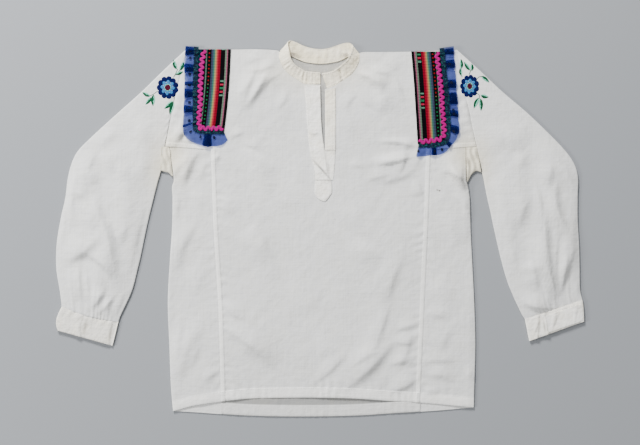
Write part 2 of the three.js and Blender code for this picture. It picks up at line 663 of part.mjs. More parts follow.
function frontOutline() {
  const rightNeck = neckLine(COLLAR.slice(COLLAR_BACK.last + 1));
  const leftNeck = neckLine(COLLAR.slice(0, COLLAR_BACK.first));
  return [
    ...panelSides("front"),
    ...SHOULDERS.right,
    NECK_CORNERS.front.right,
    ...rightNeck.slice(0, -1),
    NECK_CORNERS.slit,
    ...slitSide("right").slice(1),
    ...slitSide("left").slice(1).reverse(),
    ...leftNeck,
    NECK_CORNERS.front.left,
    ...[...SHOULDERS.left].reverse(),
  ];
}

function backOutline() {
  const neck = neckLine(COLLAR.slice(COLLAR_BACK.first + 1, COLLAR_BACK.last)).reverse();
  return [
    ...panelSides("back"),
    ...SHOULDERS.right,
    NECK_CORNERS.back.right,
    ...neck,
    NECK_CORNERS.back.left,
    ...[...SHOULDERS.left].reverse(),
  ];
}

// ---- the body ----
function hemBand(layer, from, to) {
  return [...hemLine(layer, from, to), ...hemLine(layer, from, to, HEM_DEPTH).reverse()];
}

function backPanel() {
  const left = seamX("left", hemY("back", SEAM_FEET.left)) + 2 * SLIP;
  const right = seamX("right", hemY("back", SEAM_FEET.right)) - 2 * SLIP;
  const hem = solid(block(hemBand("back", left, right), CLOTH / 2, CLOTH + HEM_RAISE));
  return geometryOf(solid(block(backOutline(), 0, CLOTH)).add(hem));
}

// A raised strip on the front along a flat-felled seam.
function fell(side) {
  const inwards = side === "left" ? 1 : -1;
  const bottom = hemY("front", seamX(side, FRONT_HEM)) + 1;
  return [
    ...seamLine(side, bottom, inwards * SLIP),
    ...seamLine(side, bottom, inwards * FELL_WIDTH).reverse(),
  ];
}

// A raised strip on the front just above the yoke seam.
function yokeFell(side) {
  const sign = side === "left" ? -1 : 1;
  const outer = armhole(side).at(-1).x - sign * YOKE_FELL_START;
  const inner = seamX(side, YOKE_SEAM) - sign * FELL_WIDTH;
  return [
    { x: outer, y: YOKE_SEAM + SLIP },
    { x: inner, y: YOKE_SEAM - YOKE_DROP + SLIP },
    { x: inner, y: YOKE_SEAM - YOKE_DROP + FELL_WIDTH },
    { x: outer, y: YOKE_SEAM + FELL_WIDTH },
  ];
}

function frontPanel() {
  const left = seamX("left", hemY("front", SEAM_FEET.left)) + SLIP;
  const right = seamX("right", hemY("front", SEAM_FEET.right)) - SLIP;
  return geometryOf(
    cutFront(frontOutline(), 0, CLOTH)
      .add(cutFront(hemBand("front", left, right), HEM_RAISE, CLOTH))
      .add(cutFront(fell("left"), FELL_RAISE, CLOTH))
      .add(cutFront(fell("right"), FELL_RAISE, CLOTH))
      .add(cutFront(yokeFell("left"), FELL_RAISE, CLOTH))
      .add(cutFront(yokeFell("right"), FELL_RAISE, CLOTH)),
  );
}

// The half circle of cloth between two layers whose middles stand at low and high, from the lower to the
// upper, where they fold at an edge that faces outwards.
function fold(edge, outwards, low, high) {
  const STEPS = 4;
  const radius = (high - low) / 2;
  const centre = edge.clone().addScaledVector(outwards, -radius - CLOTH / 2);
  return sharesOf(STEPS + 1).slice(1, -1).map((share) => {
    const angle = Math.PI * (share - 0.5);
    const out = outwards.clone().multiplyScalar(Math.cos(angle)).setZ(Math.sin(angle));
    return cloth(centre.clone().setZ(low + radius).addScaledVector(out, radius), out);
  });
}

// How far the flat layers stop short of such an edge.
const foldInset = (low, high) => (high - low) / 2 + CLOTH / 2;

// The level direction square to a path, to the left of its way.
const squareTo = (from, to) => new THREE.Vector3(from.y - to.y, to.x - from.x, 0).normalize();

// A side panel: one piece folded at the side of the body, from the back seam round to the front seam.
function sidePanel(side) {
  const [ACROSS, ROWS] = [4, 15];
  const sign = side === "left" ? -1 : 1;
  const top = (x) => yokeY(side, x) - SEAM_GAP;
  const hemStart = 1 - HEM_DEPTH / (YOKE_SEAM - hemY("front", sign * SIDE_PLACES.middle));
  const shares = [...sharesOf(ROWS).filter((s) => s < hemStart - 0.02), hemStart - 0.002, hemStart, 1];
  const rows = shares.map((share) => {
    const edgeY = mix(top(sign * SIDE_PLACES.top), hemY("front", sign * SIDE_PLACES.foot), share);
    const edge = readAt(BODY_EDGES, "y", edgeY, side);
    const high = frontHeight(edge, edgeY);
    const inset = edge - sign * foldInset(BACK_MID, high);
    const place = (layer, x) => new THREE.Vector3(x, mix(top(x), hemY(layer, x), share), BACK_MID);
    const leaf = (layer) => {
      const seam = place(layer, sign * SIDE_PLACES.seam);
      const from = seamX(side, seam.y) + sign * (SEAM_GAP / 2 + 0.1);
      return sharesOf(ACROSS).map((t) => place(layer, mix(from, inset, t)));
    };
    const extra = share >= hemStart ? HEM_RAISE : 0;
    const front = leaf("front").map((p) => cloth(p.setZ(frontHeight(p.x, p.y)), UP, extra));
    return [
      ...leaf("back").map((p) => cloth(p, DOWN)),
      ...fold(place("front", edge), new THREE.Vector3(sign, 0, 0), BACK_MID, high),
      ...front.reverse(),
    ];
  });
  return wall(rows, CLOTH);
}

// ---- sleeves and cuffs ----
// A flattened tube. The lower layer lies on the surface; lift(t, share, x, y) is how far the upper one stands
// above a flat one, from the outer edge (t = 0) to the inner (t = 1).
function flatTube(table, thickness, { stations, across, lift }) {
  const low = thickness / 2;
  const high = low + thickness + LAYER_GAP;
  const inset = foldInset(low, high) + (thickness - CLOTH) / 2;
  const rows = sharesOf(stations).map((share) => {
    const part = section(table, share);
    const flat = flatPart(part, inset);
    const upper = sharesOf(across).map((t) => {
      const p = onSection(flat, t);
      return cloth(p.setZ(high + lift(t, share, p.x, p.y, part.puff)), UP);
    });
    const lower = sharesOf(Math.ceil(across / 2)).map((t) => cloth(onSection(flat, 1 - t).setZ(low), DOWN));
    const edge = (p, side) => p.clone().addScaledVector(side, (CLOTH - thickness) / 2);
    return [
      ...lower,
      ...fold(edge(part.outer, part.outerSide), part.outerSide, low, high),
      ...upper,
      ...fold(edge(part.inner, part.innerSide), part.innerSide, low, high).reverse(),
    ];
  });
  return wall(rows, thickness, true);
}

function sleeve(side) {
  const lift = (t, share, x, y, puff) => {
    const swell = 1 - (2 * t - 1) ** 4;
    const gather = Math.max(0, 1 - (1 - share) / GATHERS.reach) * swell;
    const wave = GATHERS.height * gather * (1 - Math.cos(2 * Math.PI * GATHERS.count * t)) * 0.5;
    return (puff + relief(SLEEVE_FOLDS[side], x, y)) * swell + wave;
  };
  return flatTube(SLEEVES[side], CLOTH, { stations: 17, across: SLEEVE_POINTS, lift });
}

function cuff(side) {
  const lift = (t, share, x, y, puff) => puff * (1 - (2 * t - 1) ** 4);
  const band = flatTube(CUFFS[side], CUFF_WALL, { stations: 4, across: 7, lift });
  if (side === "left") return band;
  const top = CUFF_WALL * 2 + LAYER_GAP + LAP_LIFT;
  return geometryOf(solid(band).add(solid(block(CUFF_LAP, top - CLOTH, top + CLOTH / 2))));
}

// An underarm gusset: folded at the underarm, open along the yoke seam.
function gusset(side) {
  const [SECTIONS, ALONG] = [4, 4];
  const foldAt = (share) => {
    const r = rowAt(GUSSETS[side], share);
    return new THREE.Vector3(r.bx, r.by, 0);
  };
  const rows = sharesOf(SECTIONS).map((share) => {
    const { tx } = rowAt(GUSSETS[side], share);
    const top = new THREE.Vector3(tx, yokeY(side, tx) - SEAM_GAP, 0);
    const edge = foldAt(share);
    const outwards = squareTo(foldAt(Math.min(share + 0.1, 1)), foldAt(Math.max(share - 0.1, 0)));
    const inset = edge.clone().addScaledVector(outwards, -foldInset(BACK_MID, FRONT_MID));
    const leaf = sharesOf(ALONG).map((t) => top.clone().lerp(inset, t));
    return [
      ...leaf.map((p) => cloth(p.clone().setZ(BACK_MID), DOWN)),
      ...fold(edge, outwards, BACK_MID, FRONT_MID),
      ...leaf.map((p) => cloth(p.clone().setZ(FRONT_MID), UP)).reverse(),
    ];
  });
  return wall(rows, CLOTH);
}

// ---- collar and placket ----
function collar() {
  const rows = COLLAR.map((r) => {
    const seam = new THREE.Vector3(r.bx, r.by, r.bz);
    const edge = new THREE.Vector3(r.tx, r.ty, r.tz);
    return sharesOf(4).map((t) => seam.clone().lerp(edge, t));
  });
  return wall(withNormals(rows), COLLAR_WALL);
}

const placketBand = (name) => geometryOf(cutFront(PLACKET_BANDS[name], ON_FRONT + CLOTH / 2, CLOTH));
const placketPoint = () => geometryOf(cutFront(PLACKET_POINT, ON_FRONT + CLOTH / 2, CLOTH));

// ---- shoulder trims ----
// The points of a path, each moved to the left of its way.
function movedAside(points, distance) {
  return points.map((p, k) => {
    const side = squareTo(points[Math.max(k - 1, 0)], points[Math.min(k + 1, points.length - 1)]);
    return { x: p.x + side.x * distance, y: p.y + side.y * distance };
  });
}

// The striped ribbon: from its neck-side edge to the line where the ruffle is gathered.
function ribbon(side) {
  const towardsNeck = side === "left" ? RIBBON_GAP : -RIBBON_GAP;
  const neckSide = RIBBON_EDGES[side];
  const gathered = movedAside(RUFFLES[side].map((r) => ({ x: r.hx, y: r.hy })), towardsNeck);
  gathered[0].y = neckSide[0].y;
  return geometryOf(cutFront([...gathered, ...[...neckSide].reverse()], ON_FRONT + TRIM / 2, TRIM));
}

// Ric-rac: a flat braid that swings from side to side, lying on the ribbon.
function ricrac(side) {
  const path = new THREE.SplineCurve(RICRACS[side].map((p) => new THREE.Vector2(p.x, p.y)));
  const turns = 2 * Math.round(path.getLength() / RICRAC.wave);
  const z = FRONT_MID + ON_FRONT + TRIM + SEAM_GAP + RICRAC.wall / 2;
  const rows = sharesOf(turns + 1).map((share, i) => {
    const [p, way] = [path.getPointAt(share), path.getTangentAt(share)];
    const swing = i % 2 ? RICRAC.swing : -RICRAC.swing;
    const place = (aside) => new THREE.Vector3(p.x - way.y * aside, p.y + way.x * aside, z);
    return [cloth(place(swing - RICRAC.width / 2), UP), cloth(place(swing + RICRAC.width / 2), UP)];
  });
  return wall(rows, RICRAC.wall);
}

// How far a trim is lifted where it runs over the yoke seam.
function overSeam(y) {
  const share = (YOKE_SEAM + OVER_SEAM.start - y) / OVER_SEAM.run;
  return FELL_RAISE * Math.min(Math.max(share, 0), 1);
}

// A gathered ruffle: flat where it is sewn, standing in pleats towards its free edge.
function ruffle(side) {
  const table = RUFFLES[side];
  const header = new THREE.SplineCurve(table.map((r) => new THREE.Vector2(r.hx, r.hy)));
  const edge = new THREE.SplineCurve(table.map((r) => new THREE.Vector2(r.ex, r.ey)));
  const length = edge.getLength();
  const base = FRONT_MID + ON_FRONT + TRIM / 2;
  const pleat = (share) =>
    PLEATS[side].reduce((sum, p) => sum + Math.exp(-((((share - p.at) * length) / p.width) ** 4)), 0);
  const rows = sharesOf(RUFFLE.steps + 1).map((share) => {
    const [h, e] = [header.getPoint(share), edge.getPoint(share)];
    return sharesOf(RUFFLE.across).map((t) => {
      const rise = RUFFLE.edgeRise * t + RUFFLE.pleatHeight * (0.35 + 0.65 * t) * pleat(share);
      const y = mix(h.y, e.y, t);
      return cloth(new THREE.Vector3(mix(h.x, e.x, t), y, base + overSeam(y) + rise), UP);
    });
  });
  return wall(rows, TRIM);
}

// ---- the shirt ----
const cotton = new THREE.MeshStandardMaterial({ color: 0xdcdcd8, roughness: 0.92, metalness: 0 });
const bandCotton = new THREE.MeshStandardMaterial({ color: 0xe2e0d9, roughness: 0.9, metalness: 0 });
const stripedRibbon = new THREE.MeshStandardMaterial({ color: 0x16141a, roughness: 0.75, metalness: 0 });
const pinkBraid = new THREE.MeshStandardMaterial({ color: 0xe0309a, roughness: 0.7, metalness: 0 });
const blueOrganza = new THREE.MeshStandardMaterial({ color: 0x1c3c94, roughness: 0.5, metalness: 0 });

const shirt = new THREE.Group();

function sew(name, material, geometry) {
  const mesh = new THREE.Mesh(geometry, material);
  mesh.name = name;
  shirt.add(mesh);
}

sew("back_panel", cotton, backPanel());
sew("front_panel", cotton, frontPanel());
for (const side of ["left", "right"]) {
  sew(`side_panel_${side}`, cotton, sidePanel(side));
  sew(`gusset_${side}`, cotton, gusset(side));
  sew(`sleeve_${side}`, cotton, sleeve(side));
  sew(`cuff_${side}`, bandCotton, cuff(side));
  sew(`ribbon_${side}`, stripedRibbon, ribbon(side));
  sew(`ricrac_${side}`, pinkBraid, ricrac(side));
  sew(`ruffle_${side}`, blueOrganza, ruffle(side));
}
sew("collar", bandCotton, collar());
sew("placket_under", bandCotton, placketBand("under"));
sew("placket_over", bandCotton, placketBand("over"));
sew("placket_point", bandCotton, placketPoint());

// The origin is on the surface, at the middle of the shirt's box.
const box = new THREE.Box3().setFromObject(shirt);
const middle = box.getCenter(new THREE.Vector3());
shirt.position.set(-middle.x, -middle.y, -box.min.z);

export default shirt;
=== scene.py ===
# %% [markdown]
# # An embroidered folk shirt, laid out flat
# The shirt is white cotton with a stand collar, a slit placket, full sleeves gathered into cuffs, and
# striped ribbons with pink ric-rac and blue organza ruffles over the shoulders. It lies front up on its
# back. Every cut piece of cloth is a thin shell on the form of its CAD solid, with its own creases.
# Drawing coordinates are millimetres: X to the wearer's left sleeve, Y to the collar, Z up.
import math

import bmesh
import bpy
import numpy as np
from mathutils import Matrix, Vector
from mathutils.bvhtree import BVHTree


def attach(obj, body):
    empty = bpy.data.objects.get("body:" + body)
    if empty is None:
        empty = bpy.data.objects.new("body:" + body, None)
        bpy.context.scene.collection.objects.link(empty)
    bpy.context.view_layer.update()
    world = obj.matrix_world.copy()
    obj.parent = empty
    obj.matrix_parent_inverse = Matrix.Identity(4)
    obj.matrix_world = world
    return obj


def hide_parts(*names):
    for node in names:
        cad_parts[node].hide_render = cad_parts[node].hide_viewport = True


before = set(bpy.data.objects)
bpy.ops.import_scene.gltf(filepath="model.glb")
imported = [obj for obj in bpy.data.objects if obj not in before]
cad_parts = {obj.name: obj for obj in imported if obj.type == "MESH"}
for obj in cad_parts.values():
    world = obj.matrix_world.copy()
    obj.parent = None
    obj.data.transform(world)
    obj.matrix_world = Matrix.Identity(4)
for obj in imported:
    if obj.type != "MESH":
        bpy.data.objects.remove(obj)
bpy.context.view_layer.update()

MM = 0.001
ORIGIN = np.array([0.2246, 0.7393, 0.0])  # the row frame's origin, in the drawing


def place(x, y, z=0.0):
    """Points of the drawing from their three coordinates."""
    return np.stack(np.broadcast_arrays(x, y, z), -1).astype(float)


def in_frame(x, y, z=0.0):
    """A place of the drawing in the shared frame: z is given in metres."""
    return ((x - ORIGIN[0]) * MM, (y - ORIGIN[1]) * MM, z)


def curve(t, start, slope_at_start, end, slope_at_end):
    """A smooth curve from start to end with given slopes, at shares t of the way."""
    return (
        (2 * t**3 - 3 * t**2 + 1) * start
        + (t**3 - 2 * t**2 + t) * slope_at_start
        + (3 * t**2 - 2 * t**3) * end
        + (t**3 - t**2) * slope_at_end
    )


def read_rows(table, shares):
    """Every column of a table at shares of the way through its rows, on smooth curves."""
    rows = np.array(table, float)
    at = np.asarray(shares, float) * (len(rows) - 1)
    k = np.clip(at.astype(int), 0, len(rows) - 2)
    t = (at - k)[..., None]
    slope = np.gradient(rows, axis=0)
    return curve(t, rows[k], slope[k], rows[k + 1], slope[k + 1])


def read_at(table, at, column=1):
    """One column of a table at places along its first column, on a smooth curve."""
    rows = np.array(table, float)
    if rows[0, 0] > rows[-1, 0]:
        rows = rows[::-1]
    keys, values = rows[:, 0], rows[:, column]
    number = np.arange(len(keys))
    low, high = np.maximum(number - 1, 0), np.minimum(number + 1, len(keys) - 1)
    slope = (values[high] - values[low]) / (keys[high] - keys[low])
    k = np.clip(np.searchsorted(keys, at, side="right") - 1, 0, len(keys) - 2)
    span = keys[k + 1] - keys[k]
    t = np.clip((at - keys[k]) / span, 0, 1)
    return curve(t, values[k], span * slope[k], values[k + 1], span * slope[k + 1])


def length_along(line):
    """The distance of each point of a line from its start."""
    return np.concatenate([[0], np.cumsum(np.linalg.norm(np.diff(line, axis=0), axis=1))])


def along(points, shares):
    """Points at shares of the length of a smooth line through the given points."""
    fine = read_rows(points, np.linspace(0, 1, 16 * (len(points) - 1) + 1))
    run = length_along(fine)
    at = np.asarray(shares, float) * run[-1]
    return np.stack([np.interp(at, run, fine[:, k]) for k in range(fine.shape[1])], -1)


def coons(bottom, top, left, right, us, vs):
    """A grid of points between four edge lines that meet at their corners."""
    u, v = us[None, :, None], vs[:, None, None]
    across = (1 - v) * bottom[None] + v * top[None]
    up = (1 - u) * left[:, None] + u * right[:, None]
    low = (1 - u) * bottom[0] + u * bottom[-1]
    high = (1 - u) * top[0] + u * top[-1]
    return across + up - ((1 - v) * low + v * high)


def patch(bottom, top, left, right, columns, rows):
    """A grid between four smooth lines: its shares across and up, and its places x and y."""
    us, vs = np.linspace(0, 1, columns), np.linspace(0, 1, rows)
    grid = coons(along(bottom, us), along(top, us), along(left, vs), along(right, vs), us, vs)
    return us, vs[:, None], grid[..., 0], grid[..., 1]


def unit(way):
    """Directions of length 1."""
    return way / np.linalg.norm(way, axis=-1, keepdims=True)


def left_of(line):
    """At each point of a line, the direction to its left."""
    way = unit(np.gradient(line, axis=0))
    return np.stack([-way[:, 1], way[:, 0]], -1)


# %% tools for the forms of cloth
def hump(distance, reach):
    """1 at no distance, falling off smoothly: a third is left at the reach."""
    return np.exp(-((distance / reach) ** 2))


AWAY_FROM_LIGHT = np.array([0.42, -0.91])  # across the cloth, from the key light's side
CREASE_SPREAD = 1.2  # how much wider creases are drawn than the half widths in the tables


def relief(x, y, creases):
    """Height of creases: highest along each line, fading to its ends, and steeper away from the light."""
    total = np.zeros(np.shape(x))
    t = np.linspace(0, 1, 41)
    for x0, y0, x1, y1, bow, width, height, lean in creases:
        length = math.hypot(x1 - x0, y1 - y0)
        side = np.array([-(y1 - y0), x1 - x0]) / length
        aside = bow * 4 * t * (1 - t)
        line_x, line_y = x0 + (x1 - x0) * t + side[0] * aside, y0 + (y1 - y0) * t + side[1] * aside
        away_x, away_y = x[..., None] - line_x, y[..., None] - line_y
        distance = np.hypot(away_x, away_y)
        k = distance.argmin(-1)
        parts = (distance, away_x, away_y)
        nearest, near_x, near_y = (np.take_along_axis(p, k[..., None], -1)[..., 0] for p in parts)
        behind = side * np.sign(side @ AWAY_FROM_LIGHT)
        flank = np.where(near_x * behind[0] + near_y * behind[1] > 0, 1 - 1.35 * lean, 1.1 + 1.8 * lean)
        fade = 0.12 + 0.88 * np.sin(math.pi * t[k]) ** 1.3
        total += height * hump(nearest, width * CREASE_SPREAD * flank) * fade
    return total


def puckers(distance, run, reach, height):
    """Small uneven waves that a tight seam draws in the cloth beside it."""
    waves = np.sin(run / 2.9 + 1.7 * np.sin(run / 17) + distance / 9)
    uneven = 0.45 + 0.35 * np.sin(run / 31 + 0.7) + 0.2 * np.sin(run / 12.7)
    return height * waves * uneven * hump(distance, reach)


def smooth_step(value, start, end):
    """0 before the start, 1 after the end, and smooth between them."""
    t = np.clip((value - start) / (end - start), 0, 1)
    return t * t * (3 - 2 * t)


# %% tools for meshes
def cloth_grid(bm, points, **marks):
    """Adds a grid whose vertices lie at points (rows x columns x 3, in mm), with numbers for the shader."""
    layers = {m: bm.verts.layers.float.get(m) or bm.verts.layers.float.new(m) for m in marks}
    rows, columns = points.shape[:2]
    made = bmesh.ops.create_grid(bm, x_segments=columns - 1, y_segments=rows - 1, size=1)["verts"]
    for vert, at in zip(made, (points.reshape(-1, 3) - ORIGIN) * MM):
        vert.co = at
    for name, values in marks.items():
        for vert, value in zip(made, np.broadcast_to(values, (rows, columns)).ravel()):
            vert[layers[name]] = value


def thicken(bm, wall):
    """Gives the cloth its thickness, below the side that its faces turn to."""
    bm.normal_update()
    made = bmesh.ops.extrude_face_region(bm, geom=bm.faces[:], use_keep_orig=True)["geom"]
    copies = [e for e in made if isinstance(e, bmesh.types.BMVert)]
    for vert in copies:
        vert.co -= vert.normal * wall * MM
    bmesh.ops.recalc_face_normals(bm, faces=bm.faces)


def shell(bm, wall, closed=False):
    """Joins the grids where they touch and makes a shell of them."""
    bmesh.ops.remove_doubles(bm, verts=bm.verts, dist=0.03 * MM)
    bmesh.ops.recalc_face_normals(bm, faces=bm.faces)
    if not closed and sum(f.normal.z for f in bm.faces) < 0:
        bmesh.ops.reverse_faces(bm, faces=bm.faces)
    thicken(bm, wall)


def turn_up(bm):
    """Turns the faces of an open sheet outwards, judged by the highest of them."""
    bmesh.ops.recalc_face_normals(bm, faces=bm.faces)
    highest = max(bm.faces, key=lambda f: f.calc_center_median().z)
    if highest.normal.z < 0:
        bmesh.ops.reverse_faces(bm, faces=bm.faces)


SMOOTH_BELOW = math.radians(55)  # edges that turn by less than this are shaded smooth


def make_piece(name, bm, material, node=None):
    """Turns the mesh into a named piece that rides on the shirt and stands for its CAD node."""
    mesh = bpy.data.meshes.new(name)
    bm.to_mesh(mesh)
    bm.free()
    mesh.polygons.foreach_set("use_smooth", [True] * len(mesh.polygons))
    mesh.set_sharp_from_angle(angle=SMOOTH_BELOW)
    mesh.materials.append(material)
    piece = bpy.data.objects.new(name, mesh)
    bpy.context.scene.collection.objects.link(piece)
    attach(piece, "root")
    if node:
        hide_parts(node)
    size = [round(d / MM, 1) for d in piece.dimensions]
    print(f"{name}: {len(mesh.polygons)} faces, {size} mm")
    return piece


def make_sheet(name, material, slot, node, wall, points, **marks):
    """A piece of one grid with its thickness, from its points and its numbers for the shader."""
    bm = bmesh.new()
    cloth_grid(bm, points, **marks)
    shell(bm, wall)
    return make_piece(name, bm, material, node)


# %% tools for materials
def add_node(tree, kind, inputs=None, **settings):
    """Adds a shader node: plain values go on its sockets, and sockets of other nodes are linked."""
    node = tree.nodes.new(kind)
    for name, value in settings.items():
        setattr(node, name, value)
    for name, value in (inputs or {}).items():
        if isinstance(value, bpy.types.NodeSocket):
            tree.links.new(value, node.inputs[name])
        else:
            node.inputs[name].default_value = value
    return node


def linear(code, alpha=1.0):
    """A hex sRGB colour as linear values."""
    parts = [int(code[k : k + 2], 16) / 255 for k in (1, 3, 5)]
    return [p / 12.92 if p <= 0.04045 else ((p + 0.055) / 1.055) ** 2.4 for p in parts] + [alpha]


def new_material(name):
    """An empty material and its node tree."""
    material = bpy.data.materials.new(name)
    material.use_nodes = True
    material.node_tree.nodes.clear()
    return material, material.node_tree


def finish_material(tree, surface):
    """Shows a shader on the material's surface."""
    add_node(tree, "ShaderNodeOutputMaterial", {"Surface": surface})


def calc(tree, operation, first, second=0.0, third=0.0):
    """The result of a sum in the shader."""
    node = add_node(tree, "ShaderNodeMath", {0: first, 1: second, 2: third}, operation=operation)
    return node.outputs[0]


def attribute(tree, name):
    """A number that the mesh carries at its vertices."""
    return add_node(tree, "ShaderNodeAttribute", attribute_name=name).outputs["Fac"]


def noise(tree, scale, detail=2.0, roughness=0.5):
    """Noise with features of 1/scale mm, or stretched along an axis with three scales."""
    coordinates = add_node(tree, "ShaderNodeTexCoord").outputs["Object"]
    per_metre = [s / MM for s in (scale if isinstance(scale, tuple) else (scale,) * 3)]
    mapping = add_node(tree, "ShaderNodeMapping", {"Vector": coordinates, "Scale": per_metre})
    inputs = {"Vector": mapping.outputs["Vector"], "Scale": 1.0, "Detail": detail, "Roughness": roughness}
    return add_node(tree, "ShaderNodeTexNoise", inputs).outputs["Fac"]


def grey(value):
    """A grey as linear values."""
    return (value, value, value, 1.0)


def ramp(tree, value, stops, interpolation="LINEAR"):
    """Colours along a value: (position, linear colour) pairs."""
    node = add_node(tree, "ShaderNodeValToRGB", {"Fac": value})
    node.color_ramp.interpolation = interpolation
    elements = node.color_ramp.elements
    while len(elements) < len(stops):
        elements.new(1.0)
    for element, (position, colour) in zip(elements, stops):
        element.position, element.color = position, colour
    return node.outputs["Color"]


def mixed(tree, factor, first, second, kind="MIX"):
    """A mix of two colours, whose sockets are numbers 6 and 7 of the mix node."""
    settings = {"data_type": "RGBA", "blend_type": kind, "clamp_result": True}
    return add_node(tree, "ShaderNodeMix", {0: factor, 6: first, 7: second}, **settings).outputs[2]


def woven_surface(tree, colour, shade, height, depth, strength, skin):
    """Shows a shaded colour with fine relief, whose height from 0 to 1 stands for a depth in metres."""
    bump = add_node(tree, "ShaderNodeBump", {"Height": height, "Strength": strength, "Distance": depth})
    colour = mixed(tree, 1.0, colour, shade, "MULTIPLY")
    inputs = {"Base Color": colour, "Normal": bump.outputs["Normal"], **skin}
    finish_material(tree, add_node(tree, "ShaderNodeBsdfPrincipled", inputs).outputs["BSDF"])


def ridges(tree, value, repeat):
    """Waves from 0 to 1 along a value."""
    waves = calc(tree, "SINE", calc(tree, "MULTIPLY", value, 2 * math.pi / repeat))
    return calc(tree, "MULTIPLY_ADD", waves, 0.5, 0.5)


def distance_of(tree, first, second):
    """The length of a step with two parts at right angles."""
    squares = calc(tree, "MULTIPLY_ADD", first, first, calc(tree, "MULTIPLY", second, second))
    return calc(tree, "SQRT", squares)


# %% [markdown]
# ## Camera, floor and light
# The camera hangs straight above the middle of the view, 3 m up, so that the flat shirt keeps its shape.
# The key light stands beyond the collar and a weaker one at the left, both low, because creases only show
# in light that grazes them. A faint one at the lower right keeps the shadows soft. The floor is plain grey.

# %% camera, floor and light
VIEW_WIDTH = 1216.0  # how much of the surface the picture shows, in mm
VIEW_MIDDLE = (0.0, 12.35)  # in the drawing
CAMERA_HEIGHT = 3.0  # in metres
SENSOR = 36.0  # width of the camera's sensor, in mm


lens = bpy.data.cameras.new("camera")
lens.lens = SENSOR * CAMERA_HEIGHT / (VIEW_WIDTH * MM)
camera = bpy.data.objects.new("camera", lens)
camera.location = in_frame(*VIEW_MIDDLE, CAMERA_HEIGHT)
bpy.context.scene.collection.objects.link(camera)
bpy.context.scene.camera = camera


floor_paint, tree = new_material("studio floor")
paint = add_node(tree, "ShaderNodeBsdfPrincipled", {"Base Color": linear("#8C8F93"), "Roughness": 0.9})
finish_material(tree, paint.outputs["BSDF"])
bm = bmesh.new()
bmesh.ops.create_grid(bm, x_segments=1, y_segments=1, size=3)
mesh = bpy.data.meshes.new("floor")
bm.to_mesh(mesh)
bm.free()
mesh.materials.append(floor_paint)
floor = bpy.data.objects.new("floor", mesh)
floor.location.z = -0.0002  # just below the shirt
bpy.context.scene.collection.objects.link(floor)


def area_light(name, at, size, power):
    """A round soft light that points at the middle of the shirt: place and size in metres, power in watts."""
    light = bpy.data.lights.new(name, "AREA")
    light.shape, light.size, light.energy = "DISK", size, power
    lamp = bpy.data.objects.new(name, light)
    lamp.location = at
    lamp.rotation_euler = (-Vector(at)).to_track_quat("-Z", "Y").to_euler()
    bpy.context.scene.collection.objects.link(lamp)


# name, place, size and power
area_light("key light", (-1.1, 2.9, 1.5), 0.8, 315)
area_light("side light", (-3.0, -0.4, 1.25), 0.8, 105)
area_light("fill light", (1.9, -1.7, 2.2), 1.6, 26)
world = bpy.data.worlds.new("studio")
world.use_nodes = True
world.node_tree.nodes["Background"].inputs["Color"].default_value = (0.96, 0.98, 1.0, 1.0)
world.node_tree.nodes["Background"].inputs["Strength"].default_value = 0.36
bpy.context.scene.world = world

# %% [markdown]
# ## Materials
# Each is named for the real material. The single threads of the weave are far below what the eye sees
# from this distance, so the weave is drawn coarser: as slubs, which are thicker threads that run on for
# some centimetres in both directions. Places where the cloth has yellowed carry a number named "age".

# %% cotton
SLUB_WIDTH, SLUB_LENGTH = 2.4, 70.0  # in mm
DOUBLED_WHITE = "#F3F2EE"  # hems and felled seams let no dark through
PAINTED_SHADE_GREY = "#939391"  # painted shade: single cloth lying in shade, and the hollows of folds
STAIN_AND_SHADE_BROWN = "#4A3B33"
STAINS_AND_CORNER_SHADE = [  # x, y, radius in mm and strength
    (222.8, 74.0, 2.8, 0.6), (227.0, 72.8, 2.4, 0.95), (28.5, 18.2, 2.4, 0.2), (-256.6, 165.2, 2.4, 0.2),
    # this line and the first row of the next lie in the collar's inner corners, where they are brown stain
    # and painted shade of the deep corners together
    (-53.0, 330.5, 8.0, 0.55), (-46.0, 329.5, 7.5, 0.4), (-38.5, 328.0, 6.0, 0.16), (48.5, 330.0, 7.5, 0.5),
    (41.0, 329.0, 7.0, 0.26), (6.0, 343.0, 2.6, 0.16), (-9.0, 283.0, 2.4, 0.14),
]


def spot(tree, x, y, radius):
    """1 at a place on the cloth, fading to 0 at a radius around it, with an uneven edge."""
    at = add_node(tree, "ShaderNodeTexCoord").outputs["Object"]
    flat = add_node(tree, "ShaderNodeVectorMath", {0: at, 1: (1.0, 1.0, 0.0)}, operation="MULTIPLY")
    ends = {0: flat.outputs[0], 1: in_frame(x, y)}
    away = add_node(tree, "ShaderNodeVectorMath", ends, operation="DISTANCE").outputs["Value"]
    share = calc(tree, "DIVIDE", away, radius * MM)
    inside = calc(tree, "SUBTRACT", calc(tree, "SUBTRACT", 1.35, noise(tree, 1 / 1.6, 1.0)), share)
    return calc(tree, "MINIMUM", calc(tree, "MULTIPLY", inside, 2.2), 1.0)


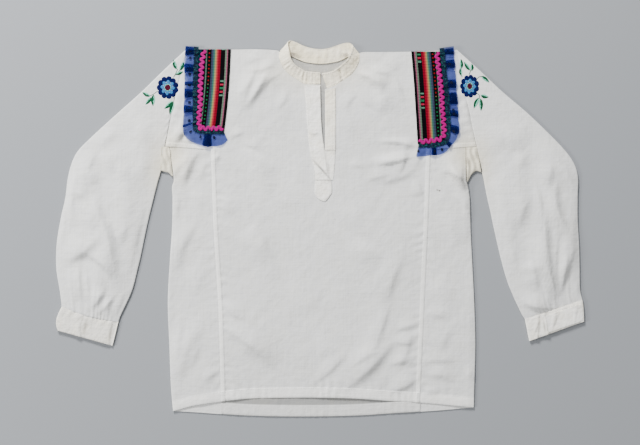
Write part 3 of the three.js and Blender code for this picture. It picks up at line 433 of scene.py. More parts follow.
def cotton(name, clean, aged, blotches, crumpling):
    """Washed cotton: matt, off-white, with slubs both ways, a soft crumple, yellowed places and painted
    shade.
    """
    material, tree = new_material(name)
    thick, long, high = 1 / SLUB_WIDTH, 1 / SLUB_LENGTH, 1 / 40
    slubs = calc(tree, "ADD", noise(tree, (thick, long, high), 1.0), noise(tree, (long, thick, high), 1.0))
    crumple = noise(tree, 1 / 11, 3.0, 0.5)
    patches = ramp(tree, noise(tree, 1 / 26, 3.0, 0.6), [(0.45, grey(0)), (0.75, grey(1))])
    age = calc(tree, "MULTIPLY_ADD", patches, blotches, attribute(tree, "age"))
    white = mixed(tree, attribute(tree, "doubled"), linear(clean), linear(DOUBLED_WHITE))
    # painted shade: where the mesh asks for it, the white turns to a grey that stands for shade
    white = mixed(tree, attribute(tree, "thin"), white, linear(PAINTED_SHADE_GREY))
    colour = mixed(tree, calc(tree, "MINIMUM", age, 1.0), white, linear(aged))
    # stains, and in the collar's inner corners painted shade as well
    for x, y, radius, strength in STAINS_AND_CORNER_SHADE:
        mark = calc(tree, "MULTIPLY", spot(tree, x, y, radius), strength)
        colour = mixed(tree, mark, colour, linear(STAIN_AND_SHADE_BROWN))
    shade = calc(tree, "MULTIPLY_ADD", calc(tree, "SUBTRACT", slubs, 1.0), 0.25, 0.985)
    shade = ramp(tree, shade, [(0.85, grey(0.85)), (1.0, grey(1))])
    height = calc(tree, "MULTIPLY_ADD", slubs, 0.2, calc(tree, "MULTIPLY", crumple, crumpling))
    matt = {"Roughness": 0.92, "Sheen Weight": 0.12, "Sheen Roughness": 0.5, "Specular IOR Level": 0.25}
    woven_surface(tree, colour, shade, height, 0.0011, 0.6, matt)
    return material


# Plain shirting: cool off-white, with creamier places where it was worn most.
shirting = cotton("white cotton shirting", "#DDDDDB", "#DDD2B0", 0.07, 1.5)
# Doubled bands of the same cotton: creamier, with faint brown marks from long storage.
band_cloth = cotton("doubled white cotton", "#FDFBF5", "#F0E4C4", 0.3, 3.2)

# %% [markdown]
# The ribbon is woven in stripes that run along it, so its colour depends only on the distance from the
# edge nearer the neck. Fine ribs cross it, drawn at 3 mm. One black stripe carries a row of single
# dots, red above and green below, and another a small motif that repeats after 88 mm.

# %% striped ribbon
RIBBON_WIDTH = 66.0
STRIPES = [  # distance of the stripe's start from the neck-side edge, in mm, and its colour
    (0.0, "#0B090B"), (5.0, "#8A4C62"), (7.4, "#5E7060"), (10.2, "#08080B"), (18.8, "#7C0A20"),
    (23.0, "#A02A36"), (25.6, "#A8704E"), (27.6, "#7D8A58"), (29.6, "#36605A"), (32.6, "#343A50"),
    (36.2, "#070808"), (44.4, "#4A6458"), (46.8, "#0A1016"),
]
HEADER_START = 55.5  # beyond this the ruffle's green-blue gathering thread covers the ribbon
DOT_LINE, DOT_REPEAT, DOTS_TURN_GREEN = 40.3, 7.4, 66.0
MOTIF_LINE, MOTIF_REPEAT, MOTIF_STEP = 14.2, 88.0, 6.8


def speckles(tree):
    """Short ends of green-blue thread on dark blue."""
    stops = [(0.45, linear("#030820")), (0.55, linear("#062238")), (0.68, linear("#175C4E"))]
    return ramp(tree, noise(tree, 1 / 2.3, 2.0, 0.75), stops)


def striped_ribbon():
    """The stripes, then the thread over the far edge, the dots, the motifs and the ribs."""
    material, tree = new_material("woven striped ribbon")
    across, run = attribute(tree, "across"), attribute(tree, "along")
    ragged = calc(tree, "MULTIPLY_ADD", calc(tree, "SUBTRACT", noise(tree, 1 / 2.2, 1.0), 0.5), 0.9, across)
    share = calc(tree, "DIVIDE", ragged, RIBBON_WIDTH)
    stops = [(start / RIBBON_WIDTH, linear(colour)) for start, colour in STRIPES]
    colour = ramp(tree, share, stops, "CONSTANT")
    outermost = calc(tree, "GREATER_THAN", ragged, HEADER_START)
    colour = mixed(tree, outermost, colour, speckles(tree))

    step = calc(tree, "PINGPONG", run, DOT_REPEAT / 2)
    dot = calc(tree, "LESS_THAN", distance_of(tree, step, calc(tree, "SUBTRACT", across, DOT_LINE)), 1.4)
    stops = [(0.0, linear("#8E1019")), (DOTS_TURN_GREEN / 200, linear("#11663A"))]
    dot_colour = ramp(tree, calc(tree, "DIVIDE", run, 200.0), stops, "CONSTANT")
    colour = mixed(tree, dot, colour, dot_colour)

    shifted = calc(tree, "ADD", run, 2.5 * MOTIF_REPEAT - 74.0)
    local = calc(tree, "SUBTRACT", calc(tree, "MODULO", shifted, MOTIF_REPEAT), MOTIF_REPEAT / 2)
    number = calc(tree, "ROUND", calc(tree, "DIVIDE", local, MOTIF_STEP))
    aside = calc(tree, "ABSOLUTE", calc(tree, "SUBTRACT", across, MOTIF_LINE))
    number_apart = calc(tree, "ABSOLUTE", number)
    inside = calc(tree, "LESS_THAN", number_apart, 2.5)
    from_middle = calc(tree, "MULTIPLY_ADD", number, -MOTIF_STEP, local)
    round_spot = distance_of(tree, from_middle, calc(tree, "SUBTRACT", aside, 1.5))
    inside = calc(tree, "MULTIPLY", inside, calc(tree, "LESS_THAN", round_spot, 1.9))
    tone = calc(tree, "MULTIPLY", number_apart, 0.25)
    stops = [(0.0, linear("#26704B")), (0.2, linear("#A8213F")), (0.45, linear("#527C67"))]
    colour = mixed(tree, inside, colour, ramp(tree, tone, stops, "CONSTANT"))

    ribs = ridges(tree, run, 3.0)
    # painted shade: the grooves between the ribs are painted darker, as well as made lower by the bump
    shade = ramp(tree, ribs, [(0.0, grey(0.42)), (0.8, grey(0.95))])
    matt = {"Roughness": 0.9, "Specular IOR Level": 0.03}
    woven_surface(tree, colour, shade, ribs, 0.0002, 0.5, matt)
    return material


ribbon_weave = striped_ribbon()

# %% [markdown]
# Organza is so sheer that one layer over white cloth looks periwinkle, while the three layers of a pleat
# look dark blue. A tinted see-through shader gives both from one material. Its gathered edge is
# speckled with green-blue thread, and small dark sprigs are stitched into it.

# %% organza, braid and embroidery thread
def organza():
    """See-through tinted cloth, closed where thread covers it."""
    material, tree = new_material("blue organza")
    across, run = attribute(tree, "across"), attribute(tree, "along")
    along_sprigs = calc(tree, "PINGPONG", calc(tree, "ADD", run, 9.0), 17.0)
    sprig = distance_of(tree, along_sprigs, calc(tree, "SUBTRACT", across, 12.0))
    sprig = calc(tree, "LESS_THAN", calc(tree, "MULTIPLY_ADD", noise(tree, 1 / 1.5, 1.0), 3.0, sprig), 4.3)
    header = calc(tree, "MULTIPLY_ADD", noise(tree, 1 / 2.2, 2.0, 0.7), 9.0, across)
    header = calc(tree, "LESS_THAN", header, 10.0)
    closed = calc(tree, "MAXIMUM", calc(tree, "MULTIPLY", header, 0.8), calc(tree, "MULTIPLY", sprig, 0.75))
    closed = calc(tree, "MAXIMUM", closed, 0.16)
    colour = mixed(tree, sprig, linear("#07164F"), linear("#030820"))
    colour = mixed(tree, header, colour, speckles(tree))
    skin = {"Base Color": colour, "Roughness": 0.6, "Specular IOR Level": 0.12}
    cloth = add_node(tree, "ShaderNodeBsdfPrincipled", skin).outputs["BSDF"]
    clear = add_node(tree, "ShaderNodeBsdfTransparent", {"Color": (0.6, 0.65, 0.86, 1.0)}).outputs["BSDF"]
    blend = add_node(tree, "ShaderNodeMixShader", {0: closed, 1: clear, 2: cloth})
    finish_material(tree, blend.outputs["Shader"])
    return material


STRAND = 1.1  # width of a thread's strand, in mm
DYES = {"navy": "#030B46", "sky": "#357AB2", "wine": "#4A0524", "leaf": "#0B4A2E", "mint": "#7ACBB0"}
TONES = {dye: (k + 0.25) / len(DYES) for k, dye in enumerate(DYES)}  # how a vertex asks for its dye


def thread(name, *dyes):
    """Stranded thread with hardly any shine. Its ridges follow the stitches, across the number "strand"."""
    material, tree = new_material(name)
    stops = [(k / len(dyes), linear(dye)) for k, dye in enumerate(dyes)]
    colour = ramp(tree, attribute(tree, "tone"), stops, "CONSTANT") if len(dyes) > 1 else stops[0][1]
    strands = ridges(tree, attribute(tree, "strand"), STRAND)
    # painted shade: the grooves between the strands are painted darker, as well as made lower by the bump
    shade = ramp(tree, strands, [(0.0, grey(0.7)), (1.0, grey(1))])
    dull = {"Roughness": 0.7, "Specular IOR Level": 0.06}
    woven_surface(tree, colour, shade, strands, 0.0003, 0.6, dull)
    return material


sheer_blue = organza()
pink_braid = thread("pink woven braid", "#A4006E")
embroidery = thread("embroidery thread", *DYES.values())
print("materials:", [m.name for m in bpy.data.materials])

# %% [markdown]
# ## Measurements of the cut
# These are the same lines as the CAD source's: side folds, felled seams, hems, shoulders, neck and slit.
# The front's upper side lies 2 mm above the back's, and what is sewn on the front lies on top of it.

# %% lines of the body
CLOTH = 0.7  # thickness that the shown cloth has
BACK_TOP = 1.15
FRONT_TOP = 3.15
YOKE_SEAM, YOKE_DROP = 156.0, 6.0
HEM_DEPTH, HEM_STITCHES = 19.0, 17.6
BACK_HEM_DEPTH = 22.0
FELL_WIDTH = 8.0  # of the felled seams

BODY_EDGES = [  # height, left edge, right edge
    (156, -286, 277), (125, -281.5, 277.5), (92, -277.5, 278), (80, -281, 281), (60, -280, 284),
    (0, -281, 286), (-60, -285, 289), (-140, -289, 293), (-220, -286, 295), (-300, -283, 293),
    (-346, -279, 292),
]
FELL_SEAMS = [(156, -207.5, 210.5), (0, -202, 205), (-150, -193, 198), (-356, -187, 189)]
HEMS = [  # place across, front hem, back hem
    (-279, -345.5, -345.5), (-262, -341, -346.5), (-236, -334.5, -348), (-187, -327.5, -351.5),
    (-135, -322, -354.5), (-60, -320.3, -356.2), (20, -320.3, -355.8), (77, -322.4, -354.2),
    (132, -326.4, -350.5), (189, -329.5, -347), (240, -333.8, -343.3), (292, -338.5, -338.5),
]
SLIT = [(150, 8.8, 8.8), (154, 8.4, 9.1), (179, 4.6, 9.4), (207, 2.5, 9.5), (236, 1.5, 9.5), (276, 0.6, 9.5)]
SIDES = {"left": -1, "right": 1}
COLUMN = {"left": 1, "right": 2}
LAYER = {"front": 1, "back": 2}

# The collar's rows: neck seam, then upper edge.
COLLAR = [
    (0.4, 275.7, 3.2, 0.4, 296.8, 4.6), (-15.2, 274.6, 3.2, -15.2, 298.3, 4.8),
    (-29.5, 275.7, 3.3, -27, 299.6, 5.2), (-43.7, 284, 3.5, -36.5, 304.4, 6.4),
    (-57, 292.6, 3.7, -44.5, 309.1, 8), (-66.5, 301.5, 3.9, -50.5, 315, 9.5),
    (-73.2, 311.6, 4.1, -55, 323, 11), (-77, 322, 4.2, -58, 335, 11.5),
    (-78.2, 331.5, 4, -60.5, 347.5, 9.5), (-76.5, 337.5, 2.6, -60.5, 356.5, 5),
    (-69, 336, 1, -54.5, 357.6, 1), (-57, 329.7, 1, -46, 354.9, 1), (-43.7, 323, 1, -34.2, 349.2, 1),
    (-28.5, 317.3, 1, -20, 344.3, 1), (-13.3, 314.8, 1, -6, 342, 1), (2.5, 313.9, 1, 7.6, 342, 1),
    (19, 315.4, 1, 21.9, 345, 1), (36.1, 319.2, 1, 37, 350.4, 1), (51.3, 325.9, 1, 49, 353.4, 1),
    (64, 331.4, 1, 56, 353.4, 1), (72.4, 333.6, 1.6, 60.6, 351.4, 2.2), (76.2, 331.6, 2.9, 62.4, 347.6, 5),
    (76.2, 326, 4, 61, 341, 8.5), (74.3, 316.4, 4.2, 57, 330.6, 10.5), (69.4, 305.4, 4.1, 50.8, 320.6, 10),
    (61.6, 295.8, 3.9, 42, 312.6, 8.8), (50.8, 287, 3.7, 33.4, 305.6, 7.2),
    (39.4, 279.4, 3.5, 25.2, 300.4, 6), (27.6, 272, 3.3, 15.6, 297.4, 5.2),
    (13.3, 266.6, 3.2, 3.6, 295.4, 4.8),
]
FRONT_TOPS = {  # upper edge of the front from the ruffled side to the slit
    "left": [(-207.5, 340.8), (-169, 340.5), (-120, 341), (-80.5, 338.5)]
    + [row[:2] for row in COLLAR[8:0:-1]]
    + [(0.6, 274.2)],
    "right": [(210.5, 338), (167, 336.5), (120, 336), (78, 335)]
    + [row[:2] for row in COLLAR[22:29]]
    + [(9.5, 265.2)],
}
SHOULDER_TIPS = {"left": (-254.2, 341.0), "right": (260.3, 340.0)}
SLEEVES = {  # outer edge, inner edge, bow of the section, rise of the upper layer
    "left": [
        (-254.2, 341, -301.5, 112, 4.5, 0), (-295, 303, -304, 103, 4, 0.5), (-340, 259.4, -307, 93, 3, 1),
        (-385.7, 218.5, -310.5, 80, 2, 1.4), (-429.4, 178.6, -314.8, 62.7, 0, 1.9),
        (-458, 150, -320, 41.8, 0, 2.2), (-470.5, 127.3, -325.9, 17.1, 0, 2.4),
        (-478.8, 96.9, -332.5, -13.3, 0, 2.6), (-483.6, 58.9, -339.5, -47.5, 0, 2.8),
        (-492.1, 20.9, -347.1, -79.8, 0, 2.8), (-499.7, -26.6, -355.9, -114, 0, 2.8),
        (-500.7, -74.1, -367.7, -141.6, 2, 2.6), (-494, -117.8, -378.1, -163.4, 4, 2),
        (-490.2, -148, -382.8, -176.7, 5, 0.8),
    ],
    "right": [
        (260.3, 340, 307.3, 108.3, -3, 0), (302.1, 302.1, 310.5, 95, -2, 0.5),
        (347.7, 259.4, 314, 76, 0, 1), (391.4, 222.3, 318.3, 55.1, 0, 1.4),
        (431.3, 184.3, 323.6, 32.3, 0, 1.9), (461.7, 153, 328.7, 7.6, 0, 2.2),
        (480.7, 127.3, 335, -20.9, 0, 2.4), (489.6, 100.7, 342, -51.3, 0, 2.6),
        (489.3, 60.8, 349, -77.9, 0, 2.8), (489.3, 17.1, 356.3, -101.7, 0, 2.8),
        (492.1, -34.2, 365.8, -125.4, 0, 2.8), (493.1, -81.7, 376.2, -148.2, 0, 2.6),
        (494, -115.9, 383.8, -163.4, 0, 2), (498.8, -135.9, 389.3, -172, 0, 0.8),
    ],
}
CUFFS = {
    "left": [
        (-490.4, -147, -382.2, -175.4, 5, 0.4), (-499.3, -167, -387.2, -196, 3, 0.6),
        (-501, -182, -390.9, -211, 1, 0.6), (-498, -193.4, -393.6, -221.4, 0, 0.3),
    ],
    "right": [
        (498.6, -134.8, 388.6, -170.9, 0, 0.4), (500.5, -150, 392, -186, 0, 0.6),
        (501.2, -164, 394.6, -200, 0, 0.6), (501.6, -175.8, 397.1, -212.4, 0, 0.3),
    ],
}

# %% [markdown]
# Creases: x and y of the two ends, how far the middle bows aside, half width, height, and how much one
# flank is steeper than the other. The long ones were pressed in when the shirt was folded away; the
# short ones come from the seams, which have shrunk more than the cloth between them.

# %% creases
CREASE_DEPTH = 2.3  # by which the heights in the tables are multiplied, to mm
SLEEVE_CREASE_DEPTH = 2.7
BODY_CREASES = [
    (-245, 138, -271, 92, 3, 10, 1.2, 0.3), (-236, 10, -274, -80, -8, 13, 1.8, 0.3),
    (-152, 150, -84, 105, 3, 15, 1.6, -0.3), (-137, 10, -93, -63, 4, 16, 1.8, -0.3),
    (-184, -184, -84, -262, 6, 15, 2.6, 0.36), (-215, -179, -266, -300, -18, 13, 1.8, 0.2),
    (137, -207, 44, -302, 8, 16, 2.6, 0.38), (184, -279, 131, -305, 6, 11, 1.8, 0.38),
    (155, -51, 126, -140, -5, 15, 1.7, 0.36), (168, 142, 99, 129, 2, 13, 1.7, -0.3),
    (238, 118, 272, 70, 4, 11, 2, 0.4), (-90, 318, -147, 224, 3, 13, 1.7, 0.38),
    (90, 290, 132, 268, 4, 12, 1.5, 0.2), (99, 262, 122, 215, 5, 15, 1.4, 0.3),
    (65, -17, 122, -59, -3, 16, 1.5, -0.3), (-117, 314, -151, 224, -2, 6, 0.9, 0.4),
    (98, 288, 140, 226, -3, 7, 0.8, 0.3), (70, 294, 106, 286, 2, 5, 0.8, 0),
    (-192, 146, -202, 122, 1, 5, 0.9, 0.2), (-222, -291, -194, -270, 2, 6, 0.9, 0.2),
    (137, -209, 182, -213, -4, 8, 1.2, 0.36), (129, -136, 96, -236, 4, 10, 1.3, 0.34),
    (203, -273, 251, -285, 2, 8, 1.2, 0.3), (195, -307, 231, -305, -2, 6, 0.9, 0.2),
    (277, -265, 291, -286, 1, 6, 1, 0), (152, 160, 179, 155, 1, 6, 1, 0.2),
    (104, 93, 181, 116, -8, 9, 1.2, 0.3), (178, 94, 192, 58, 3, 7, 1, 0.3),
    (230, 127, 284, 56, 9, 6, 1.1, 0.3), (272, 57, 286, 12, 2, 6, 0.7, 0),
    (-196, 60, -168, 22, 3, 14, 0.8, 0.2), (-30, 60, -92, 66, 5, 17, 0.6, 0.2),
    (40, 40, 96, 22, -6, 17, 0.7, 0), (-60, -150, 20, -138, 8, 20, 0.7, 0.2),
    (-10, -236, 36, -214, -4, 15, 0.8, 0.2), (226, 30, 262, -34, 5, 12, 1, 0.3),
    (214, -88, 256, -150, -6, 14, 1, 0.3), (240, -180, 222, -236, 4, 12, 0.8, 0.3),
    (-246, 72, -224, 38, 3, 9, 0.8, 0.2), (-216, -66, -240, -128, -4, 12, 0.8, 0.2),
    (-60, 250, -84, 196, 3, 14, 0.6, 0.2), (44, 232, 70, 170, -3, 14, 0.7, 0.2),
    (120, 320, 150, 300, 2, 8, 0.8, 0.3), (-112, 330, -150, 318, 2, 7, 0.7, 0.2),
    (-262, 190, -284, 150, 2, 7, 0.9, 0.3), (-240, 176, -262, 160, 1, 5, 0.7, 0),
    (258, 186, 280, 158, -2, 6, 0.9, 0.3), (270, 250, 284, 190, 2, 8, 0.8, 0.3),
    (-268, 262, -276, 208, 2, 7, 0.7, 0.3), (62, 300, 126, 262, 6, 6, 0.9, 0.34),
    (66, 270, 116, 224, -6, 6, 0.9, 0.34), (70, 262, 44, 222, -2, 7, 0.7, 0.3),
    (134, 300, 158, 236, 3, 7, 0.8, 0.34), (56, 122, 88, 116, 2, 6, 0.7, 0.3),
    (84, 96, 138, 108, -3, 6, 0.9, 0.34), (-104, 300, -84, 262, 2, 6, 0.7, 0.3),
    (-128, 296, -158, 250, 3, 7, 0.8, 0.3), (-150, 164, -108, 146, 3, 6, 0.8, 0.34),
    (-170, 174, -142, 182, 2, 5, 0.9, 0.34), (-92, 66, -130, 128, 4, 8, 0.7, 0.3),
    (-64, 118, -30, 84, 3, 7, 0.6, 0.3), (-262, 132, -286, 96, 3, 5, 0.9, 0.36),
    (-244, 128, -258, 88, 2, 6, 0.8, 0.34), (164, 150, 148, 104, 2, 6, 0.9, 0.36),
    (196, 150, 180, 116, -2, 6, 0.8, 0.34), (172, -196, 150, -262, 4, 7, 0.8, 0.34),
    (112, -232, 60, -262, -5, 7, 0.9, 0.34), (-156, -206, -118, -250, -4, 7, 0.8, 0.34),
    (-230, -210, -250, -268, 3, 7, 0.7, 0.3), (226, 112, 280, 84, 5, 5, 1.2, 0.5),
    (250, 122, 279, 72, -5, 5, 1.3, 0.5), (226, 131, 258, 96, 4, 5, 0.9, 0.4),
    (-256, 214, -280, 172, 4, 4, 1.0, 0.4), (-250, 186, -276, 164, -3, 4, 0.8, 0.4),
    (-246, 150, -268, 112, 3, 5, 1.1, 0.45), (-226, 148, -246, 118, -3, 5, 0.9, 0.4),
    (-262, 196, -270, 170, 3, 4, 1.0, 0.3), (248, 214, 272, 176, -4, 4, 1.0, 0.3),
    (240, 186, 262, 160, 3, 4, 0.9, 0.3), (-84, 318, -132, 300, 5, 6, 1.0, 0.3),
    (-76, 296, -112, 262, -5, 6, 1.0, 0.3), (-60, 268, -84, 226, 4, 6, 0.8, 0.26),
    (88, 310, 142, 296, -5, 6, 1.1, 0.3), (-102, 298, -146, 228, 4, 4, 1.0, 0.12),
    (180, 157, 106, 164, -4, 4, 1.3, 0.3), (177, 138, 98, 124, 4, 4, 1.4, 0.4),
    (80, 288, 120, 254, 5, 6, 1.0, 0.3), (216, 150, 262, 116, -4, 6, 0.9, 0.36),
    (236, 172, 262, 148, 3, 5, 0.8, 0.34), (250, 66, 284, 34, 3, 6, 0.8, 0.34),
    (-236, 150, -262, 62, -5, 6, 0.9, 0.16), (-214, 132, -232, 96, 2, 5, 0.7, 0.34),
    (-270, 78, -276, 10, 2, 6, 0.8, 0.34), (-262, -160, -276, -250, 2, 6, 0.7, 0.34),
    (-188, -138, -140, -172, -4, 8, 1.2, 0.36), (196, -254, 256, -252, 4, 6, 1.1, 0.34),
    (200, -156, 246, -164, -3, 6, 1.0, 0.3), (130, -259, 186, -252, 4, 6, 1.1, 0.34),
    (142, -196, 186, -182, 3, 6, 1.0, 0.34), (-12, -290, 50, -228, -6, 8, 1.1, 0.34),
]
SLEEVE_CREASES = {
    "left": [
        (-418, -8, -494, -62, 9, 15, 2.3, 0.36), (-437, 66, -388, -92, 7, 14, 2.4, 0.36),
        (-416, 150, -388, 103, 3, 15, 1.2, 0.2), (-460, -62, -455, -138, 0, 9, 1.5, 0.34),
        (-410, -110, -437, -150, 4, 9, 2, 0.3), (-474, 8, -464, 112, 4, 11, 1.8, 0.34),
        (-470, 70, -444, 58, 2, 6, 1, 0.2), (-452, -44, -392, -106, 14, 11, 2.4, 0.38),
        (-384, -115, -428, -165, 3, 7, 1.1, 0.3), (-389, 110, -357, 106, 1, 10, 0.8, 0),
        (-372, -118, -390, -168, 2, 5, 1.1, 0.36), (-398, -128, -408, -168, 1, 5, 0.9, 0),
        (-331, 60, -364, -85, 2, 6, 1, 0.35), (-330, 210, -352, 160, 4, 15, 0.8, 0.2),
        (-442, 112, -428, 84, 2, 8, 0.8, 0.2), (-368, 20, -384, -30, 3, 12, 0.9, 0.3),
        (-434, 140, -476, 26, -10, 24, 1.7, 0.1), (-380, 130, -362, -70, 6, 22, 1.6, 0.12),
        (-428, 66, -446, -6, 5, 18, 1.3, 0.2), (-424, -58, -418, -138, 0, 17, 1.4, 0.2),
        (-336, 190, -352, 60, 5, 20, 1.2, 0.15), (-390, 196, -424, 160, 3, 14, 1.2, 0.2),
        (-482, 46, -490, -40, -3, 7, 1.0, 0.3), (-446, -76, -440, -140, 2, 6, 0.8, 0.3),
        (-424, 150, -444, 92, -4, 8, 0.9, 0.3), (-404, 20, -396, -60, 3, 8, 0.9, 0.3),
    ],
    "right": [
        (424, 34, 444, -120, -5, 13, 2.8, 0.38), (446, 92, 474, -8, -12, 13, 2.6, 0.38),
        (482, -26, 458, -110, 0, 10, 1.7, 0.34), (378, -128, 442, -148, -9, 10, 2.4, 0.34),
        (374, 0, 396, 66, 4, 14, 1.4, 0.3), (399, -60, 412, -120, 0, 10, 1.4, 0.3),
        (434, 128, 428, 74, 2, 11, 1.2, 0.3), (468, -42, 454, -125, 2, 6, 1.1, 0.3),
        (417, -97, 440, -138, 2, 6, 1, 0.3), (372, -78, 424, -78, 4, 8, 0.8, 0.2),
        (380, 114, 388, 147, 1, 9, 0.8, 0), (318, 96, 352, 30, 5, 10, 1, 0.3),
        (330, 200, 352, 150, -4, 15, 0.8, 0.2), (487, -98, 497, -132, 1, 4, 1.6, 0.4),
        (350, -20, 372, -80, 4, 9, 0.9, 0.3), (424, -60, 446, -128, 3, 5, 0.9, 0.34),
        (420, 176, 466, 66, 8, 22, 1.8, 0.12), (372, 150, 398, -20, -6, 22, 1.6, 0.15),
        (340, 70, 376, -70, -4, 18, 1.3, 0.15), (470, 40, 482, -90, 4, 13, 1.4, 0.25),
        (420, -10, 424, -110, 2, 14, 1.2, 0.25), (344, 200, 392, 150, -6, 18, 1.2, 0.2),
        (452, -2, 449, -118, -4, 6, 1.0, 0.34), (486, 76, 490, -60, 3, 7, 1.0, 0.3),
        (404, 96, 418, 8, 4, 8, 0.9, 0.3), (456, 120, 482, 76, 4, 8, 1.1, 0.3),
    ],
}


def swell(x, y):
    """The slow rise and fall of cloth that isn't pulled tight, and the softer crumple over it."""
    slow = np.sin(x / 41 + 0.6 * np.sin(y / 63)) + np.sin(y / 37 + 0.9 * np.sin(x / 57) + 1.3)
    middle = np.sin((x + 0.6 * y) / 12.1 + 2.1 * np.sin(y / 29 + 0.4)) * np.sin(y / 47 + x / 83 + 0.9)
    small = np.sin((0.5 * x - y) / 7.3 + 2.4 * np.sin(x / 19) + 1.1) * np.sin(x / 31 - y / 53 + 2.0)
    return 0.8 * slow + 0.55 * middle + 0.24 * small


def front_height(x, y):
    """The height of the front's upper side."""
    return FRONT_TOP + CREASE_DEPTH * relief(x, y, BODY_CREASES) + 0.7 * swell(x, y)


def front_age(x, y):
    """Yellowing of the body, at the neck and at the underarms."""
    neck = 0.45 * hump(x + 5, 95) * hump(y - 300, 34)
    return neck + 0.6 * hump(np.abs(x) - 285, 34) * hump(y - 140, 42)


def seam_x(side, y):
    """Where the felled seam runs, across."""
    return read_at(FELL_SEAMS, y, COLUMN[side])


def hem_y(layer, x):
    """Where the hem's edge runs, up."""
    return read_at(HEMS, x, LAYER[layer])


def band(distance, depth, rise, slope=0.9):
    """A turned-in or felled edge: raised from the edge to just short of the stitching."""
    return rise * smooth_step(distance, -0.2, slope) * (1 - smooth_step(distance, depth - 0.6, depth + 0.6))


# %% [markdown]
# ## The body
# The front is cut in one piece with the yoke's wings, which reach to the armholes above the side panels.
# It is laid as grids that follow the seams, the hem, the neck and the slit, so that no edge is jagged,
# with closer rows at the stitched bands. The grids are then joined and given the cloth's thickness.

# %% grids of the panels
HEM_ROWS = np.array([0, 1.2, 5, 9.5, 14, 17.6, 18.6, 19.4, 20.6, 23])  # distances from the hem's edge
SEAM_STEPS = np.array([0, 0.9, 2.2, 4, 5.8, 7.2, 8.4, 9.6])  # from a felled seam
WING_ROWS = np.array([0, 0.9, 2.6, 5, 7.2, 8.4, 9.8, 14])  # from the yoke seam


def armhole(side):
    """The armhole from the shoulder tip to the yoke seam, on the line of the sleeve's first section."""
    edge = sleeve_lines(side, np.array([0.0]))
    t = np.linspace(0, 1, 60)
    line = edge["outer"] * (1 - t[:, None]) + edge["inner"] * t[:, None]
    line = line + edge["forward"] * (edge["bow"] * 4 * t * (1 - t))[:, None]
    keep = line[:, 1] > YOKE_SEAM
    end_share = np.interp(-YOKE_SEAM, -line[:, 1], t)
    end = [np.interp(end_share, t, line[:, 0]), YOKE_SEAM]
    return np.vstack([line[keep], end])


def sleeve_lines(side, shares, table=None):
    """The two edges of a flattened sleeve or cuff at shares of its length, and which way they face."""
    table = table or SLEEVES[side]
    rows = read_rows(table, shares)
    ahead = read_rows(table, np.minimum(shares + 0.02, 1))
    behind = read_rows(table, np.maximum(shares - 0.02, 0))
    outer, inner = rows[:, 0:2], rows[:, 2:4]
    way_out, way_in = (ahead - behind)[:, 0:2], (ahead - behind)[:, 2:4]

    def facing(way, across):
        aside = unit(np.stack([-way[:, 1], way[:, 0]], -1))
        return aside * np.sign((aside * across).sum(-1, keepdims=True))

    sides = {"outer_side": facing(way_out, outer - inner), "inner_side": facing(way_in, inner - outer)}
    forward = unit(way_out + way_in)
    return {"outer": outer, "inner": inner, "forward": forward, "bow": rows[:, 4], "puff": rows[:, 5]} | sides


def columns_between(seam, middle, count):
    """Places across a panel: close together beside the felled seam, then even to the middle."""
    inwards = np.sign(middle - seam)
    close = seam[..., None] + inwards[..., None] * SEAM_STEPS
    far = np.linspace(0, 1, count)[1:]
    return np.concatenate([close, close[..., -1:] + (middle - close[..., -1:]) * far], -1)


def lower_half(layer, side, middle_x, count, rows):
    """Half of a panel from its hem to the yoke seam's lower end: points across and up."""
    top = YOKE_SEAM - YOKE_DROP
    share = np.linspace(0, 1, rows)[1:]
    y = np.full((len(HEM_ROWS) + rows - 1, len(SEAM_STEPS) + count - 1), -330.0)  # a first guess
    for _ in range(3):  # the seam's place depends on y and the hem's on x, so they are found in turns
        columns = range(y.shape[1])
        x = np.stack([columns_between(seam_x(side, y[:, k]), middle_x, count)[:, k] for k in columns], -1)
        hem = hem_y(layer, x[0])
        above = hem + HEM_ROWS[-1]
        y = np.concatenate([hem + HEM_ROWS[:, None], above + (top - above) * share[:, None]])
    return x, y


def upper_half(base, top, right, us, shares_up):
    """The part of a panel above the level of the yoke seam, between its upper edge and its middle."""
    left = base[0] + (top[0] - base[0]) * shares_up[:, None]
    width = (base[:, 0] - base[0, 0]) / (base[-1, 0] - base[0, 0])
    return coons(base, top, left, right, 0.5 * (width + us), shares_up)


def upper_front(side, base, shares_up):
    """The front between the yoke seam's level, the shoulder, the neck and the slit."""
    edge = np.array(FRONT_TOPS[side])
    length = np.linalg.norm(np.diff(edge, axis=0), axis=1).sum()
    inner = np.linspace(0, 1, base.shape[0] - len(SEAM_STEPS) + 1)[1:]
    near_share = SEAM_STEPS / length
    us = np.concatenate([near_share, near_share[-1] + (1 - near_share[-1]) * inner])
    top = along(edge, us)
    y = base[-1, 1] + (top[-1, 1] - base[-1, 1]) * shares_up
    right = np.stack([read_at(SLIT, y, COLUMN[side]), y], -1)
    right[0], right[-1] = base[-1], top[-1]
    return upper_half(base, top, right, us, shares_up)


def yoke_wing(side, upper, us, shares_up):
    """The part of the yoke that reaches to the armhole, above the side panel, and its lower edge."""
    hole, tip, seam_top = armhole(side)[::-1], np.array(SHOULDER_TIPS[side]), upper[0, 0]
    seam_y = YOKE_SEAM - YOKE_DROP * us
    bottom = np.stack([hole[0, 0] + (seam_top[0] - hole[0, 0]) * us, seam_y], -1)
    top = tip + (upper[-1, 0] - tip) * us[:, None]
    wing = coons(bottom, top, along(hole, shares_up), upper[:, 0], us, shares_up)
    return wing[..., 0], wing[..., 1], seam_y


# %% front
YOKE_HEIGHT = 191.0  # from the yoke seam to the shoulder
FRONT_MIDDLE, BACK_MIDDLE = 8.8, 4.0  # where the halves of the panels meet, across


